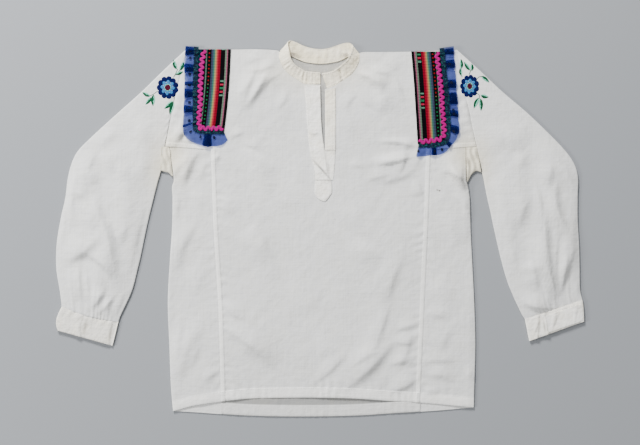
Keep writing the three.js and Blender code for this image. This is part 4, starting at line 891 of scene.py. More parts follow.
def front_piece():
    bm = bmesh.new()
    for side, sign in SIDES.items():
        x, y = lower_half("front", side, FRONT_MIDDLE, 74, 150)
        shares_up = np.concatenate([WING_ROWS, np.linspace(WING_ROWS[-1], YOKE_HEIGHT, 60)[1:]]) / YOKE_HEIGHT
        upper = upper_front(side, np.stack([x[-1], y[-1]], -1), shares_up)
        x, y = np.concatenate([x, upper[1:, :, 0]]), np.concatenate([y, upper[1:, :, 1]])
        height = front_height(x, y)
        from_seam = np.abs(x - x[:, :1])
        below_yoke = 1 - smooth_step(y, YOKE_SEAM - YOKE_DROP, YOKE_SEAM)
        height += band(from_seam, FELL_WIDTH, 0.8, 2.2) * below_yoke
        from_hem = y - hem_y("front", x)
        height += band(from_hem, HEM_DEPTH, 0.6)
        height += puckers(from_seam - FELL_WIDTH, y + 40 * sign, 15, 0.75) * smooth_step(from_seam, 7, 9)
        height += puckers(from_hem - HEM_DEPTH, x, 15, 0.8) * smooth_step(from_hem, 18, 20)
        height += puckers(from_hem - 9, 1.3 * x, 8, 0.7) * (from_hem < HEM_STITCHES)
        doubled = np.maximum(band(from_seam, FELL_WIDTH, 1) * below_yoke, band(from_hem, HEM_DEPTH, 1))
        cloth_grid(bm, place(x, y, height), age=front_age(x, y), doubled=doubled)

        us = np.concatenate([[0, 0.012, 0.03, 0.06], np.linspace(0.1, 1, 20)])
        x, y, seam_y = yoke_wing(side, upper, us, shares_up)
        above = y - seam_y
        height = front_height(x, y) + band(above, FELL_WIDTH, 0.75) * smooth_step(1 - us, 0, 0.08)
        from_hole = np.abs(x - x[:, :1])
        height += puckers(from_hole, y, 20, 0.7) * smooth_step(from_hole, 1, 5)
        height -= 0.8 * hump(from_hole, 2.2)
        cloth_grid(bm, place(x, y, height), age=front_age(x, y), doubled=band(above, FELL_WIDTH, 1))
    shell(bm, CLOTH)
    return make_piece("front_cloth", bm, shirting, "front_panel")


front = front_piece()

# %% [markdown]
# The back has the same cut with a plain neck, and it reaches 3 cm lower, so that the inside of its
# turned-up hem shows below the front. It lies flat on the surface, so it only needs fine rows there.

# %% back
def back_piece():
    bm = bmesh.new()
    for side in SIDES:
        x, y = lower_half("back", side, BACK_MIDDLE, 44, 26)
        neck = COLLAR[9:16] if side == "left" else COLLAR[15:21][::-1]
        tips = [(-207.5, 340.8), (-140, 341)] if side == "left" else [(210.5, 338), (140, 336.3)]
        edge = np.array(tips + [row[:2] for row in neck])
        edge[-1] = (BACK_MIDDLE, 313.9)
        us, shares_up = np.linspace(0, 1, x.shape[1]), np.linspace(0, 1, 24)
        base, top = np.stack([x[-1], y[-1]], -1), along(edge, us)
        right = base[-1] + (top[-1] - base[-1]) * shares_up[:, None]
        upper = upper_half(base, top, right, us, shares_up)
        x, y = np.concatenate([x, upper[1:, :, 0]]), np.concatenate([y, upper[1:, :, 1]])
        from_hem = y - hem_y("back", x)
        hem = band(from_hem, BACK_HEM_DEPTH, 1)
        height = BACK_TOP + 0.55 * hem + 0.15 * np.abs(swell(x, y))
        height += puckers(from_hem - 10, 1.2 * x + 30, 9, 0.8) * (from_hem < 20)
        # painted shade: the single back cloth shows only under the front's hem, in the slit and in the neck.
        # It is painted grey for the shade there, darkest near the hem and lighter on its doubled hem band
        thin = 0.8 + 0.2 * (from_hem < 90) - 0.8 * hem
        cloth_grid(bm, place(x, y, height), age=0.35 * front_age(x, y), doubled=0.4 * hem, thin=thin)

        x, y, _ = yoke_wing(side, upper, np.linspace(0, 1, 9), shares_up)
        # painted shade on the wings as well
        cloth_grid(bm, place(x, y, BACK_TOP), age=0.0, doubled=0.0, thin=0.8)
    shell(bm, CLOTH)
    return make_piece("back_cloth", bm, shirting, "back_panel")


back = back_piece()

# %% [markdown]
# Each side panel is one width of cloth that runs from the seam in the back round the fold at the side of
# the body to the seam in the front. The underarm gussets are small squares folded in the same way. They
# are the most worn part, so they are yellowed and deeply wrinkled.

# %% side panels and gussets
def fold_arc(edge, outwards, low, high, steps=6):
    """Rows of points round a fold, from the lower layer's outer side to the upper one's."""
    angles = np.linspace(-math.pi / 2, math.pi / 2, steps)[1:-1]
    radius = (high - low) / 2
    out = radius[..., None] * np.cos(angles)
    up = low[..., None] + radius[..., None] * (1 + np.sin(angles))
    flat = edge[..., None, :] - outwards[..., None, :] * (radius[..., None] - out)[..., None]
    return place(flat[..., 0], flat[..., 1], up)


def yoke_y(side, x):
    """Where the yoke seam runs, up."""
    near_x, far_x = seam_x(side, YOKE_SEAM), armhole(side)[-1, 0]
    return YOKE_SEAM - YOKE_DROP * (1 - (x - near_x) / (far_x - near_x))


def side_piece(side):
    sign = SIDES[side]
    near_hem = [0.9575, 0.9605, 0.966, 0.98, 0.993, 1.0]
    share = np.concatenate([np.linspace(0, 1, 120)[:-1] * 0.957, near_hem])  # downwards
    top_edge, hem_edge = yoke_y(side, sign * 280), hem_y("front", sign * 285)  # at the fold's ends
    edge_y = top_edge + (hem_edge - top_edge) * share
    edge_x = read_at(BODY_EDGES, edge_y, COLUMN[side])
    high = FRONT_TOP + CREASE_DEPTH * relief(edge_x, edge_y, BODY_CREASES) - 0.3
    low = np.full(len(share), BACK_TOP - CLOTH)
    inset = edge_x - sign * (high - low) / 2

    def layer_grid(layer, ts):
        middle = sign * 200.0
        y = yoke_y(side, middle) + (hem_y(layer, middle) - yoke_y(side, middle)) * share
        start = seam_x(side, y)
        x = start[:, None] + (inset - start)[:, None] * ts
        y = yoke_y(side, x) + (hem_y(layer, x) - yoke_y(side, x)) * share[:, None]
        return x, y

    close = np.array([0, 0.6, 1.6, 3]) / 80
    ts = np.concatenate([close, np.linspace(0, 1, 26)[1:]])
    x, y = layer_grid("front", ts)
    from_seam, from_hem = np.abs(x - x[:, :1]), y - hem_y("front", x)
    height = front_height(x, y) + band(from_hem, HEM_DEPTH, 0.6)
    height += puckers(from_seam, y + 90 * sign, 14, 0.7) * smooth_step(from_seam, 0.5, 3)
    height += puckers(from_hem - HEM_DEPTH, x, 14, 0.5) * smooth_step(from_hem, 18, 20)
    height += puckers(from_hem - 9, 1.3 * x, 8, 0.3) * (from_hem < HEM_STITCHES)
    height += (high[:, None] - height) * smooth_step(ts, 0.9, 1)
    height -= 0.2 * hump(from_seam, 1.0)
    upper = place(x, y, height)
    x, y = layer_grid("back", np.linspace(0, 1, 6))
    lower = place(x, y, low[:, None])
    outwards = np.tile([float(sign), 0.0], (len(share), 1))
    turn = fold_arc(np.stack([edge_x, edge_y], -1), outwards, low, high)
    points = np.concatenate([lower, turn, upper[:, ::-1]], 1)
    x, y = points[..., 0], points[..., 1]
    doubled = band(y - hem_y("front", x), HEM_DEPTH, 1) * (points[..., 2] > BACK_TOP)
    bm = bmesh.new()
    cloth_grid(bm, points, age=front_age(x, y), doubled=doubled)
    turn_up(bm)
    thicken(bm, CLOTH)
    return make_piece(f"side_cloth_{side}", bm, shirting, f"side_panel_{side}")


GUSSETS = {  # top across, then the fold at the underarm
    "left": [(-301.3, -303.6, 111.5), (-294.5, -296, 109), (-290.4, -288, 107), (-286.2, -280.4, 100)],
    "right": [(277, 280.2, 89), (284, 287.4, 103), (290, 296, 110), (297.5, 305.6, 108)],
}
GUSSET_STEPS = np.linspace(0, 1, 30)


def gusset_piece(side):
    rows = read_rows(GUSSETS[side], GUSSET_STEPS)
    edge, outwards = rows[:, 1:], left_of(rows[:, 1:])
    outwards *= -np.sign(outwards[:, 1:])
    low, high = np.full(len(rows), BACK_TOP - CLOTH), np.full(len(rows), FRONT_TOP + 0.1)
    inset = edge - outwards * ((high - low) / 2)[:, None]
    ts = GUSSET_STEPS
    top = np.stack([rows[:, 0], yoke_y(side, rows[:, 0])], -1)
    flat = top[:, None] + (inset - top)[:, None] * ts[:, None]
    x, y = flat[..., 0], flat[..., 1]
    wrinkle = 1.1 * np.sin(x / 1.7 + y / 9 + 1.2 * np.sin(y / 7)) + 0.4 * np.sin(x / 5.1 - y / 4.7)
    upper = place(x, y, high[:, None] + (wrinkle + 0.8) * np.sin(math.pi * ts) ** 0.6)
    # painted shade: the hollows between the wrinkles of the upper layer are painted grey
    hollow = np.clip(-0.2 * wrinkle, 0, 0.5)
    lower = place(x, y, low[:, None])
    turn = fold_arc(edge, outwards, low, high)
    points = np.concatenate([lower, turn, upper[:, ::-1]], 1)
    thin = np.concatenate([np.zeros_like(x), np.zeros(turn.shape[:2]), hollow[:, ::-1]], 1)
    bm = bmesh.new()
    cloth_grid(bm, points, age=0.62, thin=thin)
    turn_up(bm)
    thicken(bm, CLOTH)
    return make_piece(f"gusset_cloth_{side}", bm, shirting, f"gusset_{side}")


side_cloths = {side: side_piece(side) for side in SIDES}
gussets = {side: gusset_piece(side) for side in SIDES}

# %% [markdown]
# ## Sleeves and cuffs
# A sleeve is a tube of cloth pressed flat, wide at the armhole and gathered into its cuff by about a
# dozen small uneven pleats on the side that shows. A cuff is a folded band, pressed flat as well. On the
# right one the end of the band laps over its front.

# %% sleeves
def flat_tube(lines, low, high, across, lower_count, lift):
    """Rings of points round a flattened tube: lower layer, outer fold, upper layer, inner fold."""
    radius = (high - low) / 2
    outer = lines["outer"] - lines["outer_side"] * radius
    inner = lines["inner"] - lines["inner_side"] * radius

    def layer(ts):
        flat = outer[:, None] + (inner - outer)[:, None] * ts[:, None]
        return flat + lines["forward"][:, None] * (lines["bow"][:, None] * 4 * ts * (1 - ts))[..., None]

    ts = np.linspace(0, 1, across)
    top = layer(ts)
    count = len(outer)
    upper = place(top[..., 0], top[..., 1], high + lift(ts, top[..., 0], top[..., 1]))
    bottom = layer(np.linspace(1, 0, lower_count))
    lower = place(bottom[..., 0], bottom[..., 1], low)
    lows, highs = np.full(count, low), np.full(count, high)
    outer_turn = fold_arc(lines["outer"], lines["outer_side"], lows, highs)
    inner_turn = fold_arc(lines["inner"], lines["inner_side"], lows, highs)[:, ::-1]
    return np.concatenate([lower, outer_turn, upper, inner_turn, lower[:, :1]], 1)


SLEEVE_LENGTH = 600.0


def sleeve_piece(side):
    shares = np.concatenate([[0, 0.002, 0.005, 0.01], np.linspace(0.018, 0.985, 150), [0.992, 0.997, 1.0]])
    lines = sleeve_lines(side, shares)

    def lift(ts, x, y):
        run, to_cuff = shares[:, None], 1 - shares[:, None]
        full = 1 - (2 * ts - 1) ** 4
        folds = SLEEVE_CREASE_DEPTH * relief(x, y, SLEEVE_CREASES[side]) + 0.6 * swell(x, y)
        rise = (lines["puff"][:, None] + folds) * full
        rise += puckers(SLEEVE_LENGTH * run, y, 22, 0.7) * full * smooth_step(run, 0.002, 0.01)
        reach = 0.05 + 0.13 * (0.5 + 0.5 * np.sin(31 * ts + 2)) * (0.6 + 0.4 * np.sin(13 * ts))
        phase = 2 * math.pi * (12 * ts + 0.6 * np.sin(9 * ts)) + 7 * to_cuff * np.cos(5 * ts)
        bold = 0.7 + 0.8 * np.sin(19 * ts + 1) ** 2
        gathers = 0.75 * bold * (0.5 + 0.5 * np.cos(phase)) * hump(to_cuff, reach) * full**2
        seam = 0.9 * hump(run, 0.004) + 0.7 * hump(to_cuff, 0.004)
        return rise + gathers - seam * full

    points = flat_tube(lines, BACK_TOP - CLOTH, FRONT_TOP, 84, 12, lift)
    underarm = hump(points[..., 1] - 120, 55) * hump(np.abs(points[..., 0]) - 300, 26)
    bm = bmesh.new()
    cloth_grid(bm, points, age=0.5 * underarm)
    shell(bm, CLOTH, closed=True)
    return make_piece(f"sleeve_cloth_{side}", bm, shirting, f"sleeve_{side}")


CUFF_LOW, CUFF_HIGH = 0.35, 4.0  # heights of the cuffs' two layers
CUFF_LAP = {  # the end of the right cuff's band, which lies over its front: edge lines
    "bottom": [(428, -198), (452, -189.8), (474, -182.2), (498.4, -173.4)],
    "top": [(425.5, -166.5), (447, -158.6), (470, -150.9), (496, -142.2)],
    "left": [(428, -198), (425.5, -166.5)],
    "right": [(498.4, -173.4), (496, -142.2)],
}
CUFF_HOLLOWS = [  # painted shade: grey lines in the hollows of the cuffs' folds, in the form of the crease tables
    (419, -166, 403, -208, 1, 1.7, 0.8, 0), (423, -168, 428, -201, 0, 1.5, 0.9, 0),
    (455, -158, 441, -194, -1, 1.6, 0.7, 0), (490, -141, 485, -174, 0, 1.4, 0.6, 0),
    (-443, -166, -450, -206, 1, 2.6, 0.6, 0), (-395, -184, -402, -214, 0, 1.5, 0.5, 0),
]


def cuff_lap():
    """The mesh of the right cuff's lap, with a fold across it."""
    us, vs, x, y = patch(**CUFF_LAP, columns=30, rows=12)
    past = 446.5 + 0.15 * (y + 165) - x
    height = 5.35 + 0.2 * np.sin(x / 6 + y / 9)
    height += 1.1 * hump(past, np.where(past > 0, 6.0, 1.5)) * vs
    height -= 0.9 * smooth_step(us, 0.88, 1) + 0.3 * hump(vs, 0.06)
    bm = bmesh.new()
    # painted shade along the hollows of the lap's fold
    cloth_grid(bm, place(x, y, height), age=0.0, thin=relief(x, y, CUFF_HOLLOWS))
    shell(bm, 1.0)
    mesh = bpy.data.meshes.new("lap")
    bm.to_mesh(mesh)
    bm.free()
    return mesh


def cuff_piece(side):
    shares = np.concatenate([[0, 0.015, 0.04], np.linspace(0.08, 0.92, 14), [0.96, 0.985, 1.0]])
    lines = sleeve_lines(side, shares, CUFFS[side])

    def lift(ts, x, y):
        full = 1 - (2 * ts - 1) ** 6
        run = shares[:, None]
        rise = lines["puff"][:, None] * full + 0.25 * swell(x * 3, y * 3) * full
        if side == "left":
            past = ts - 0.385 - 0.02 * run
            rise += 1.9 * hump(past, np.where(past > 0, 0.022, 0.09)) * (0.4 + 0.6 * run) * full
            rise -= 1.3 * smooth_step(ts, 0.905 + 0.035 * run, 0.925 + 0.035 * run)
        else:
            for start, lean, high in ((0.662, 0.0, 1.9), (0.775, 0.085, 1.5)):
                past = ts - start - lean * run
                rise += high * hump(past, np.where(past > 0, 0.06, 0.012))
        rise += puckers(50 * run, 110 * ts, 14, 0.55) * full
        return rise - 0.5 * (hump(run, 0.03) + hump(1 - run, 0.03)) * full

    points = flat_tube(lines, CUFF_LOW, CUFF_HIGH, 60, 10, lift)
    # the whole left cuff gets a little of the same grey, and both cuffs get painted shade along the hollows
    # of their folds
    dull = {"left": 0.3, "right": 0.0}[side]
    bm = bmesh.new()
    cloth_grid(bm, points, age=0.15, thin=dull + relief(points[..., 0], points[..., 1], CUFF_HOLLOWS))
    shell(bm, 1.2, closed=True)
    if side == "right":
        lap = cuff_lap()
        bm.from_mesh(lap)
        bpy.data.meshes.remove(lap)
    return make_piece(f"cuff_cloth_{side}", bm, band_cloth, f"cuff_{side}")


sleeves = {side: sleeve_piece(side) for side in SIDES}
cuffs = {side: cuff_piece(side) for side in SIDES}

# %% [markdown]
# ## Collar and placket
# The stand collar is a doubled band on the neck edge. At the back it lies flat, at the sides it turns and
# stands up, and in front it lies over the neck, with puckers where the neck was gathered into it.

# %% collar
COLLAR_FRONT = 0.285  # its front part lies on this side of this place in the shared frame, in metres


def collar_piece():
    shares, heights = np.linspace(0, 1, 260), np.linspace(0, 1, 14)
    s, t = shares[None], heights[:, None]
    rows = read_rows(COLLAR, shares)
    points = rows[None, :, :3] * (1 - t[..., None]) + rows[None, :, 3:] * t[..., None]
    normal = unit(np.cross(np.gradient(points, axis=1), np.gradient(points, axis=0)))
    fine = 0.8 * np.sin(2 * math.pi * (58 * s + 0.9 * np.sin(23 * s)))
    wavy = fine * (hump(s - 0.1, 0.11) + 0.5 * hump(s - 0.93, 0.05))
    wavy = wavy + 0.5 * np.sin(2 * math.pi * (31 * s + 1.2 * np.sin(9 * s) + 0.2 * t))
    between_edges = np.sin(math.pi * np.clip(t, 0, 1)) ** 0.7
    stitched = 0.5 * hump(t - 0.09, 0.035) + 0.45 * hump(t - 0.92, 0.035)
    crease = 1.9 * hump(s - 0.905 + 0.035 * (t - 0.5), 0.008) * smooth_step(1 - t, 0.0, 0.3)
    outer = points + normal * (0.7 + wavy * between_edges * 0.6 - stitched + crease)[..., None]
    lies_flat = smooth_step(s, 0.3, 0.34) * (1 - smooth_step(s, 0.68, 0.72))
    outer[..., 2] = np.maximum(outer[..., 2], 1.35 * lies_flat)
    bm = bmesh.new()
    cloth_grid(bm, outer, age=0.68 + 0.3 * np.sin(9 * s + 2 * t) ** 2 * hump(s - 0.5, 0.25))
    bmesh.ops.recalc_face_normals(bm, faces=bm.faces)
    in_front = [face for face in bm.faces if face.calc_center_median().y < COLLAR_FRONT]
    if sum(face.normal.z for face in in_front) < 0:
        bmesh.ops.reverse_faces(bm, faces=bm.faces)
    thicken(bm, 1.3)
    return make_piece("collar_cloth", bm, band_cloth, "collar")


collar = collar_piece()

# %% [markdown]
# The placket is two narrow doubled bands along the slit. Below the slit the first one is laid across the
# whole placket, where its cloth turns under in a slanting fold, and a pointed tab closes it at the foot.

# %% placket
PLACKET_LIFT = 1.35  # of the bands' upper side above the front's
PLACKET_FOOT, SLIT_FOOT, PLACKET_HEAD = 93.4, 149.4, 271.5  # up
LEFT_EDGE = [(-8.5, 93.4), (-10.5, 112), (-15, 131), (-19, 150)]
LEFT_EDGE += [(-22, 179), (-24.5, 207), (-26, 236), (-29.5, 271.5)]
RIGHT_EDGE = [(24.7, 93.4), (27.5, 121), (28.6, 149.4)]
SLIT_EDGE = [(8.2, 149.4), (4.1, 179), (2, 207), (1, 236), (0.1, 271.5)]
PLACKET_CREASES = [
    (-24, 184, 4, 180, -2, 3.6, 0.9, 0.3), (-18, 166, 6, 128, 3, 5, 1.0, 0.36),
    (12, 140, 17, 102, -1, 4, 0.9, 0.36), (2, 126, 15, 98, 1, 3, 0.6, 0.3),
]
PLACKET_HOLLOWS = [  # painted shade: grey lines in the hollows of the folds and along the bar at the foot of the slit
    (-19, 136, 22, 91, 1, 1.5, 1.1, 0), (8.5, 152, 18.5, 92, -1, 1.1, 0.7, 0),
    (6, 148.4, 31, 148.4, 0, 1.0, 0.8, 0), (-24, 184, 2, 181, -2, 1.6, 0.5, 0),
]


def slant(x):
    """The height of the slanting fold below the slit."""
    return 131 - (x + 15.2) * 1.12


def placket_over():
    us, vs = np.linspace(0, 1, 34), np.linspace(0, 1, 60)
    left = along(LEFT_EDGE, np.linspace(0, 1, 400))
    middle = [(-18.9, SLIT_FOOT), (8.2, SLIT_FOOT)]
    halves = [  # height of its foot and head, then its lower, upper and right edge
        (PLACKET_FOOT, SLIT_FOOT, [(-8.5, 93.4), (24.7, 93.4)], middle + [(28.6, SLIT_FOOT)], RIGHT_EDGE),
        (SLIT_FOOT, PLACKET_HEAD, middle, [(-29.5, 271.5), (0.1, 271.5)], SLIT_EDGE),
    ]
    bm = bmesh.new()
    for foot, head, bottom, top, right in halves:
        edge_y = foot + (head - foot) * vs
        edge = np.stack([np.interp(edge_y, left[:, 1], left[:, 0]), edge_y], -1)
        grid = coons(along(bottom, us), along(top, us), edge, along(right, vs), us, vs)
        x, y = grid[..., 0], grid[..., 1]
        above = smooth_step(y, slant(x) - 1.2, slant(x) + 0.6)
        turned = (0.9 * (1 - above) - 0.5 * above) * (1 - smooth_step(y, 132, 150))
        height = front_height(x, y) + PLACKET_LIFT + turned + relief(x, y, PLACKET_CREASES)
        height -= 0.25 * (hump(us, 0.03) + hump(1 - us, 0.03))
        # painted shade along the hollows, from the table above
        cloth_grid(bm, place(x, y, height), age=0.05, thin=relief(x, y, PLACKET_HOLLOWS))
    shell(bm, 0.9)
    return make_piece("placket_over_cloth", bm, band_cloth, "placket_over")


def placket_under():
    left, right = [(10, 150), (10, 207), (10, 262.5)], [(29, 150), (29.3, 207), (29, 267.5)]
    us, _, x, y = patch([left[0], right[0]], [left[-1], right[-1]], left, right, 16, 46)
    height = front_height(x, y) + PLACKET_LIFT + 0.2 * np.sin(y / 11 + 0.8 * np.sin(x / 5))
    height -= 0.3 * (hump(us, 0.05) + hump(1 - us, 0.05)) + 0.35 * hump(us - 0.8, 0.04)
    age = 0.25 + 0.35 * smooth_step(y, 160, 265)
    labels = ("placket_under_cloth", band_cloth, "band_cotton", "placket_under")
    return make_sheet(*labels, 0.9, place(x, y, height), age=age)


def placket_tab():
    bottom, top = [(-9.8, 70), (-5.7, 60), (9.5, 53.2), (21.8, 68.5)], [(-8.2, 92.8), (20, 92.8)]
    us, vs, x, y = patch(bottom, top, [bottom[0], top[0]], [bottom[-1], (21.8, 81), top[-1]], 20, 22)
    rim = hump(us, 0.06) + hump(1 - us, 0.06) + hump(vs, 0.06)
    height = front_height(x, y) + PLACKET_LIFT + 0.15 - 0.3 * np.minimum(rim, 1)
    labels = ("placket_point_cloth", band_cloth, "band_cotton", "placket_point")
    return make_sheet(*labels, 0.9, place(x, y, height), age=0.08)


placket = [placket_over(), placket_under(), placket_tab()]

# %% [markdown]
# ## Shoulder trims
# A striped ribbon runs over each shoulder. Its outer edge and its end are covered by a pink ric-rac and
# edged with a ruffle of blue organza, laid in flat pleats of three layers with single cloth between.

# %% ribbons
RUFFLES = {  # where the ruffle is gathered, and its free edge
    "left": [
        (-233.5, 346, -255, 347.5), (-234.7, 311.6, -257.5, 311.6), (-235.6, 273.6, -257.5, 273.6),
        (-236, 235, -258.4, 235), (-236.5, 200, -260.3, 192), (-234.5, 190.5, -254, 174.5),
        (-229, 186.3, -240, 163), (-218, 185.3, -222, 157.5), (-205, 185, -206, 156.5),
        (-191, 185, -186, 159), (-182, 185.5, -174.5, 168),
    ],
    "right": [
        (230, 343.5, 253.5, 347), (234.6, 302, 256.5, 302), (238.5, 264, 259.4, 264), (241, 226, 262, 226),
        (242.5, 197.6, 263.8, 191), (242, 181, 261, 174), (239.4, 170, 250, 159.5), (234, 163.6, 239, 147),
        (222, 161, 224, 140), (205, 160, 203, 139), (187, 159, 182, 136.5),
    ],
}
NECK_EDGES = {
    "left": [(-169, 341), (-172.3, 273.6), (-177.7, 216.6), (-181.8, 186)],
    "right": [(173, 337), (177.7, 283), (181.5, 226), (185.5, 161)],
}
FAR_EDGES = {
    "left": [(-233.4, 341), (-235.2, 262), (-233.4, 186.6)],
    "right": [(230.2, 337), (238.9, 248), (238.5, 163)],
}
RIBBON_LIFT = 0.95  # of the ribbons' upper side above the front's
MOTIF_SHIFT = {"left": 0.0, "right": -20.0}  # where in its repeat each length of ribbon was cut


def ribbon_piece(side):
    us, vs = np.linspace(0, 1, 34), np.linspace(0, 1, 60)
    neck_edge, far_edge = along(NECK_EDGES[side], vs), along(FAR_EDGES[side], vs)
    grid = neck_edge[:, None] + (far_edge - neck_edge)[:, None] * us[:, None]
    x, y = grid[..., 0], grid[..., 1]
    distance = np.linalg.norm(grid - neck_edge[:, None], axis=-1)
    run = np.linalg.norm(neck_edge[0] - neck_edge[-1]) * vs[:, None] + MOTIF_SHIFT[side]
    height = front_height(x, y) + RIBBON_LIFT + 0.12 * np.sin(distance / 2.9)
    labels = (f"ribbon_cloth_{side}", ribbon_weave, "ribbon", f"ribbon_{side}")
    return make_sheet(*labels, 0.6, place(x, y, height), across=distance, along=run)


ribbons = {side: ribbon_piece(side) for side in SIDES}

# %% ric-rac
RICRACS = {
    "left": [
        (-220.4, 339), (-224.2, 311.6), (-226.5, 273.6), (-227.4, 235.6), (-229.6, 202), (-227.6, 192.4),
        (-219, 191), (-184, 191),
    ],
    "right": [
        (221.4, 335), (225.2, 302), (229.9, 264), (232.2, 226), (234.9, 196), (235.6, 183), (229.5, 171.5),
        (211, 167.6), (188, 165.6),
    ],
}
RICRAC_WAVE, RICRAC_SWING, RICRAC_HALF_WIDTH = 10.3, 3.2, 2.3  # in mm


def ricrac_piece(side):
    length = length_along(along(RICRACS[side], np.linspace(0, 1, 600)))[-1]
    waves = round(length / RICRAC_WAVE)
    shares = np.linspace(0, 1, waves * 12 + 1)
    middle = along(RICRACS[side], shares)
    phase = 2 * math.pi * waves * shares
    swing = RICRAC_SWING * np.sin(phase) * (1 + 0.12 * np.sin(15 * phase / waves))
    centre = middle + left_of(middle) * swing[:, None]
    ts = np.linspace(-1, 1, 7)[:, None]
    grid = centre + left_of(centre) * (RICRAC_HALF_WIDTH * ts[..., None])
    x, y = grid[..., 0], grid[..., 1]
    height = front_height(x, y) + RIBBON_LIFT + 1.05 + 0.45 * np.sqrt(1.02 - ts**2)
    strand = shares * length * 1.1 + 1.6 * ts
    labels = (f"ricrac_braid_{side}", pink_braid, "ricrac", f"ricrac_{side}")
    return make_sheet(*labels, 0.8, place(x, y, height), strand=strand)


ricracs = {side: ricrac_piece(side) for side in SIDES}

# %% ruffles
PLEATS = {  # place along the free edge and half width of each pleat, in mm
    "left": [(8.7, 8.6), (43, 8.4), (72, 3.6), (88.5, 8.2), (121, 7.0), (152.7, 3.0), (218, 8.6)],
    "right": [
        (8.8, 6.2), (34.4, 7.4), (72.4, 8.4), (91, 4.4), (105, 7.2), (128.5, 6.6), (160, 7.0), (196, 4.4),
        (232, 5.2),
    ],
}
HEADER_REACH = 3.6  # how far the gathered edge runs in under the ric-rac


def pleated_run(side, length):
    """Rows of the cloth in order: place along its gathered and its free edge, height, nearness to a fold."""
    run = [(0.0, 0.0, 0.0, 0.0)]

    def walk(gathered, free, level, step=2.2):
        start = run[-1]
        count = max(3, math.ceil(abs(free - start[1]) / step))
        for k in range(1, count + 1):
            t = k / count
            fold = max(math.exp(-((1 - t) * count / 1.2)), math.exp(-(t * count / 1.2)) * (start[3] > 0.5))
            height = start[2] + (level - start[2]) * min(1, 2.5 * t)
            run.append((start[0] + (gathered - start[0]) * t, start[1] + (free - start[1]) * t, height, fold))

    for k, (at, half) in enumerate(PLEATS[side]):
        middle = at + 1.6 * math.sin(2.3 * k + 0.8)
        wide, narrow = 1.04 * half, 0.72 * half
        uneven = 1.3 * math.sin(4.1 * k)
        walk(at + narrow, middle + wide, 0.55)
        walk(max(at - narrow, 0.3), max(middle - wide + uneven, 0.3), 1.25)
        walk(at + narrow + 0.3, middle + wide + 0.3 - uneven, 1.9)
        walk(at + narrow + 3, middle + wide + 3, 0.0)
    walk(length, length, 0.0)
    return np.array(run).T


def ruffle_piece(side):
    table = np.array(RUFFLES[side], float)
    fine = np.linspace(0, 1, 400)
    run = length_along(read_rows(table[:, 2:], fine))
    length = run[-1]
    gathered, free, levels, folds = pleated_run(side, length)
    near_rows = read_rows(table, np.interp(gathered, run, fine))
    near_rows, outward = near_rows[:, :2], unit(near_rows[:, 2:] - near_rows[:, :2])
    far_rows = read_rows(table, np.interp(free, run, fine))[:, 2:]
    cut = np.concatenate([[0], np.cumsum(np.abs(np.diff(free)))])
    reach = 1 + 0.022 * np.sin(cut / 8.3 + 0.9 * np.sin(cut / 21)) - 0.04 * folds
    far_rows = near_rows + (far_rows - near_rows) * reach[:, None]  # an uneven free edge
    near_rows = near_rows - outward * HEADER_REACH
    ts = np.linspace(0, 1, 15)[:, None]
    x = near_rows[:, 0] * (1 - ts) + far_rows[:, 0] * ts
    y = near_rows[:, 1] * (1 - ts) + far_rows[:, 1] * ts + 0.9 * np.sin(math.pi * ts) * np.sin(cut / 11)
    width = np.linalg.norm(far_rows - near_rows, axis=1)
    flare = 0.8 * ts * np.sin(cut / 4.1 + 0.7 * np.sin(cut / 13)) + 0.4 * (1 - ts) ** 2 * np.sin(cut / 1.5)
    height = front_height(x, y) + RIBBON_LIFT + 0.25 + levels * (0.6 + 0.6 * ts) + flare + 0.4 * ts
    print(f"ruffle {side}: {cut[-1]:.0f} mm of organza on {length:.0f} mm of edge")
    labels = (f"ruffle_organza_{side}", sheer_blue, "organza", f"ruffle_{side}")
    return make_sheet(*labels, 0.12, place(x, y, height), across=width * ts - HEADER_REACH, along=cut)


ruffles = {side: ruffle_piece(side) for side in SIDES}

# %% [markdown]
# ## Embroidery and stitching
# Each sleeve cap carries one flower in satin stitch, with small two-coloured leaves on thin stems. Satin
# stitch stands up slightly, so petals and leaves are low domes. Their strands run outwards from the middle
# of the flower and from the midrib of the leaf.

# %% where the cloth's surface is
def surface_of(*pieces):
    """The height of the topmost of some pieces, as a function of a place in the drawing."""
    bm = bmesh.new()
    for piece in pieces:
        bm.from_mesh(piece.data)
    tree = BVHTree.FromBMesh(bm)
    bm.free()

    def height(x, y):
        hit = tree.ray_cast(Vector(in_frame(x, y, 0.1)), Vector((0, 0, -1)))[0]
        return hit.z / MM if hit else 0.0

    return height


def raised(points, ground, lift):
    """Lifts flat points onto the cloth."""
    heights = np.array([ground(x, y) for x, y in points.reshape(-1, 2)]).reshape(points.shape[:-1])
    return place(points[..., 0], points[..., 1], heights + lift)


# %% flowers, leaves and stems
def ring(bm, ground, centre, inner, outer, lobes, stretch, tone, lift, turn=0.0, notch=0.16, power=0.55):
    """A ring or disc of satin stitch between two radii, the outer one scalloped."""
    angles = np.linspace(0, 2 * math.pi, 16 * max(lobes, 4) + 1)
    rs = np.linspace(0, 1, 8)[:, None]
    wave = np.abs(np.sin(lobes * (angles - turn) / 2)) ** power if lobes else np.ones_like(angles)
    reach = outer * (1 - (notch if lobes else 0) * (1 - wave))
    radius = inner + (reach - inner) * rs
    across, up = radius * np.cos(angles) * stretch, radius * np.sin(angles)
    points = np.stack([centre[0] + across, centre[1] + up], -1)
    dome = lift + 0.45 * np.sqrt(np.clip(1 - (2 * rs - 1) ** 4, 0, 1)) * (0.6 + 0.4 * wave)
    cloth_grid(bm, raised(points, ground, dome), tone=TONES[tone], strand=angles * outer)


LEAF_LENGTH = 1.28  # by which the leaves run on past the tips in the table


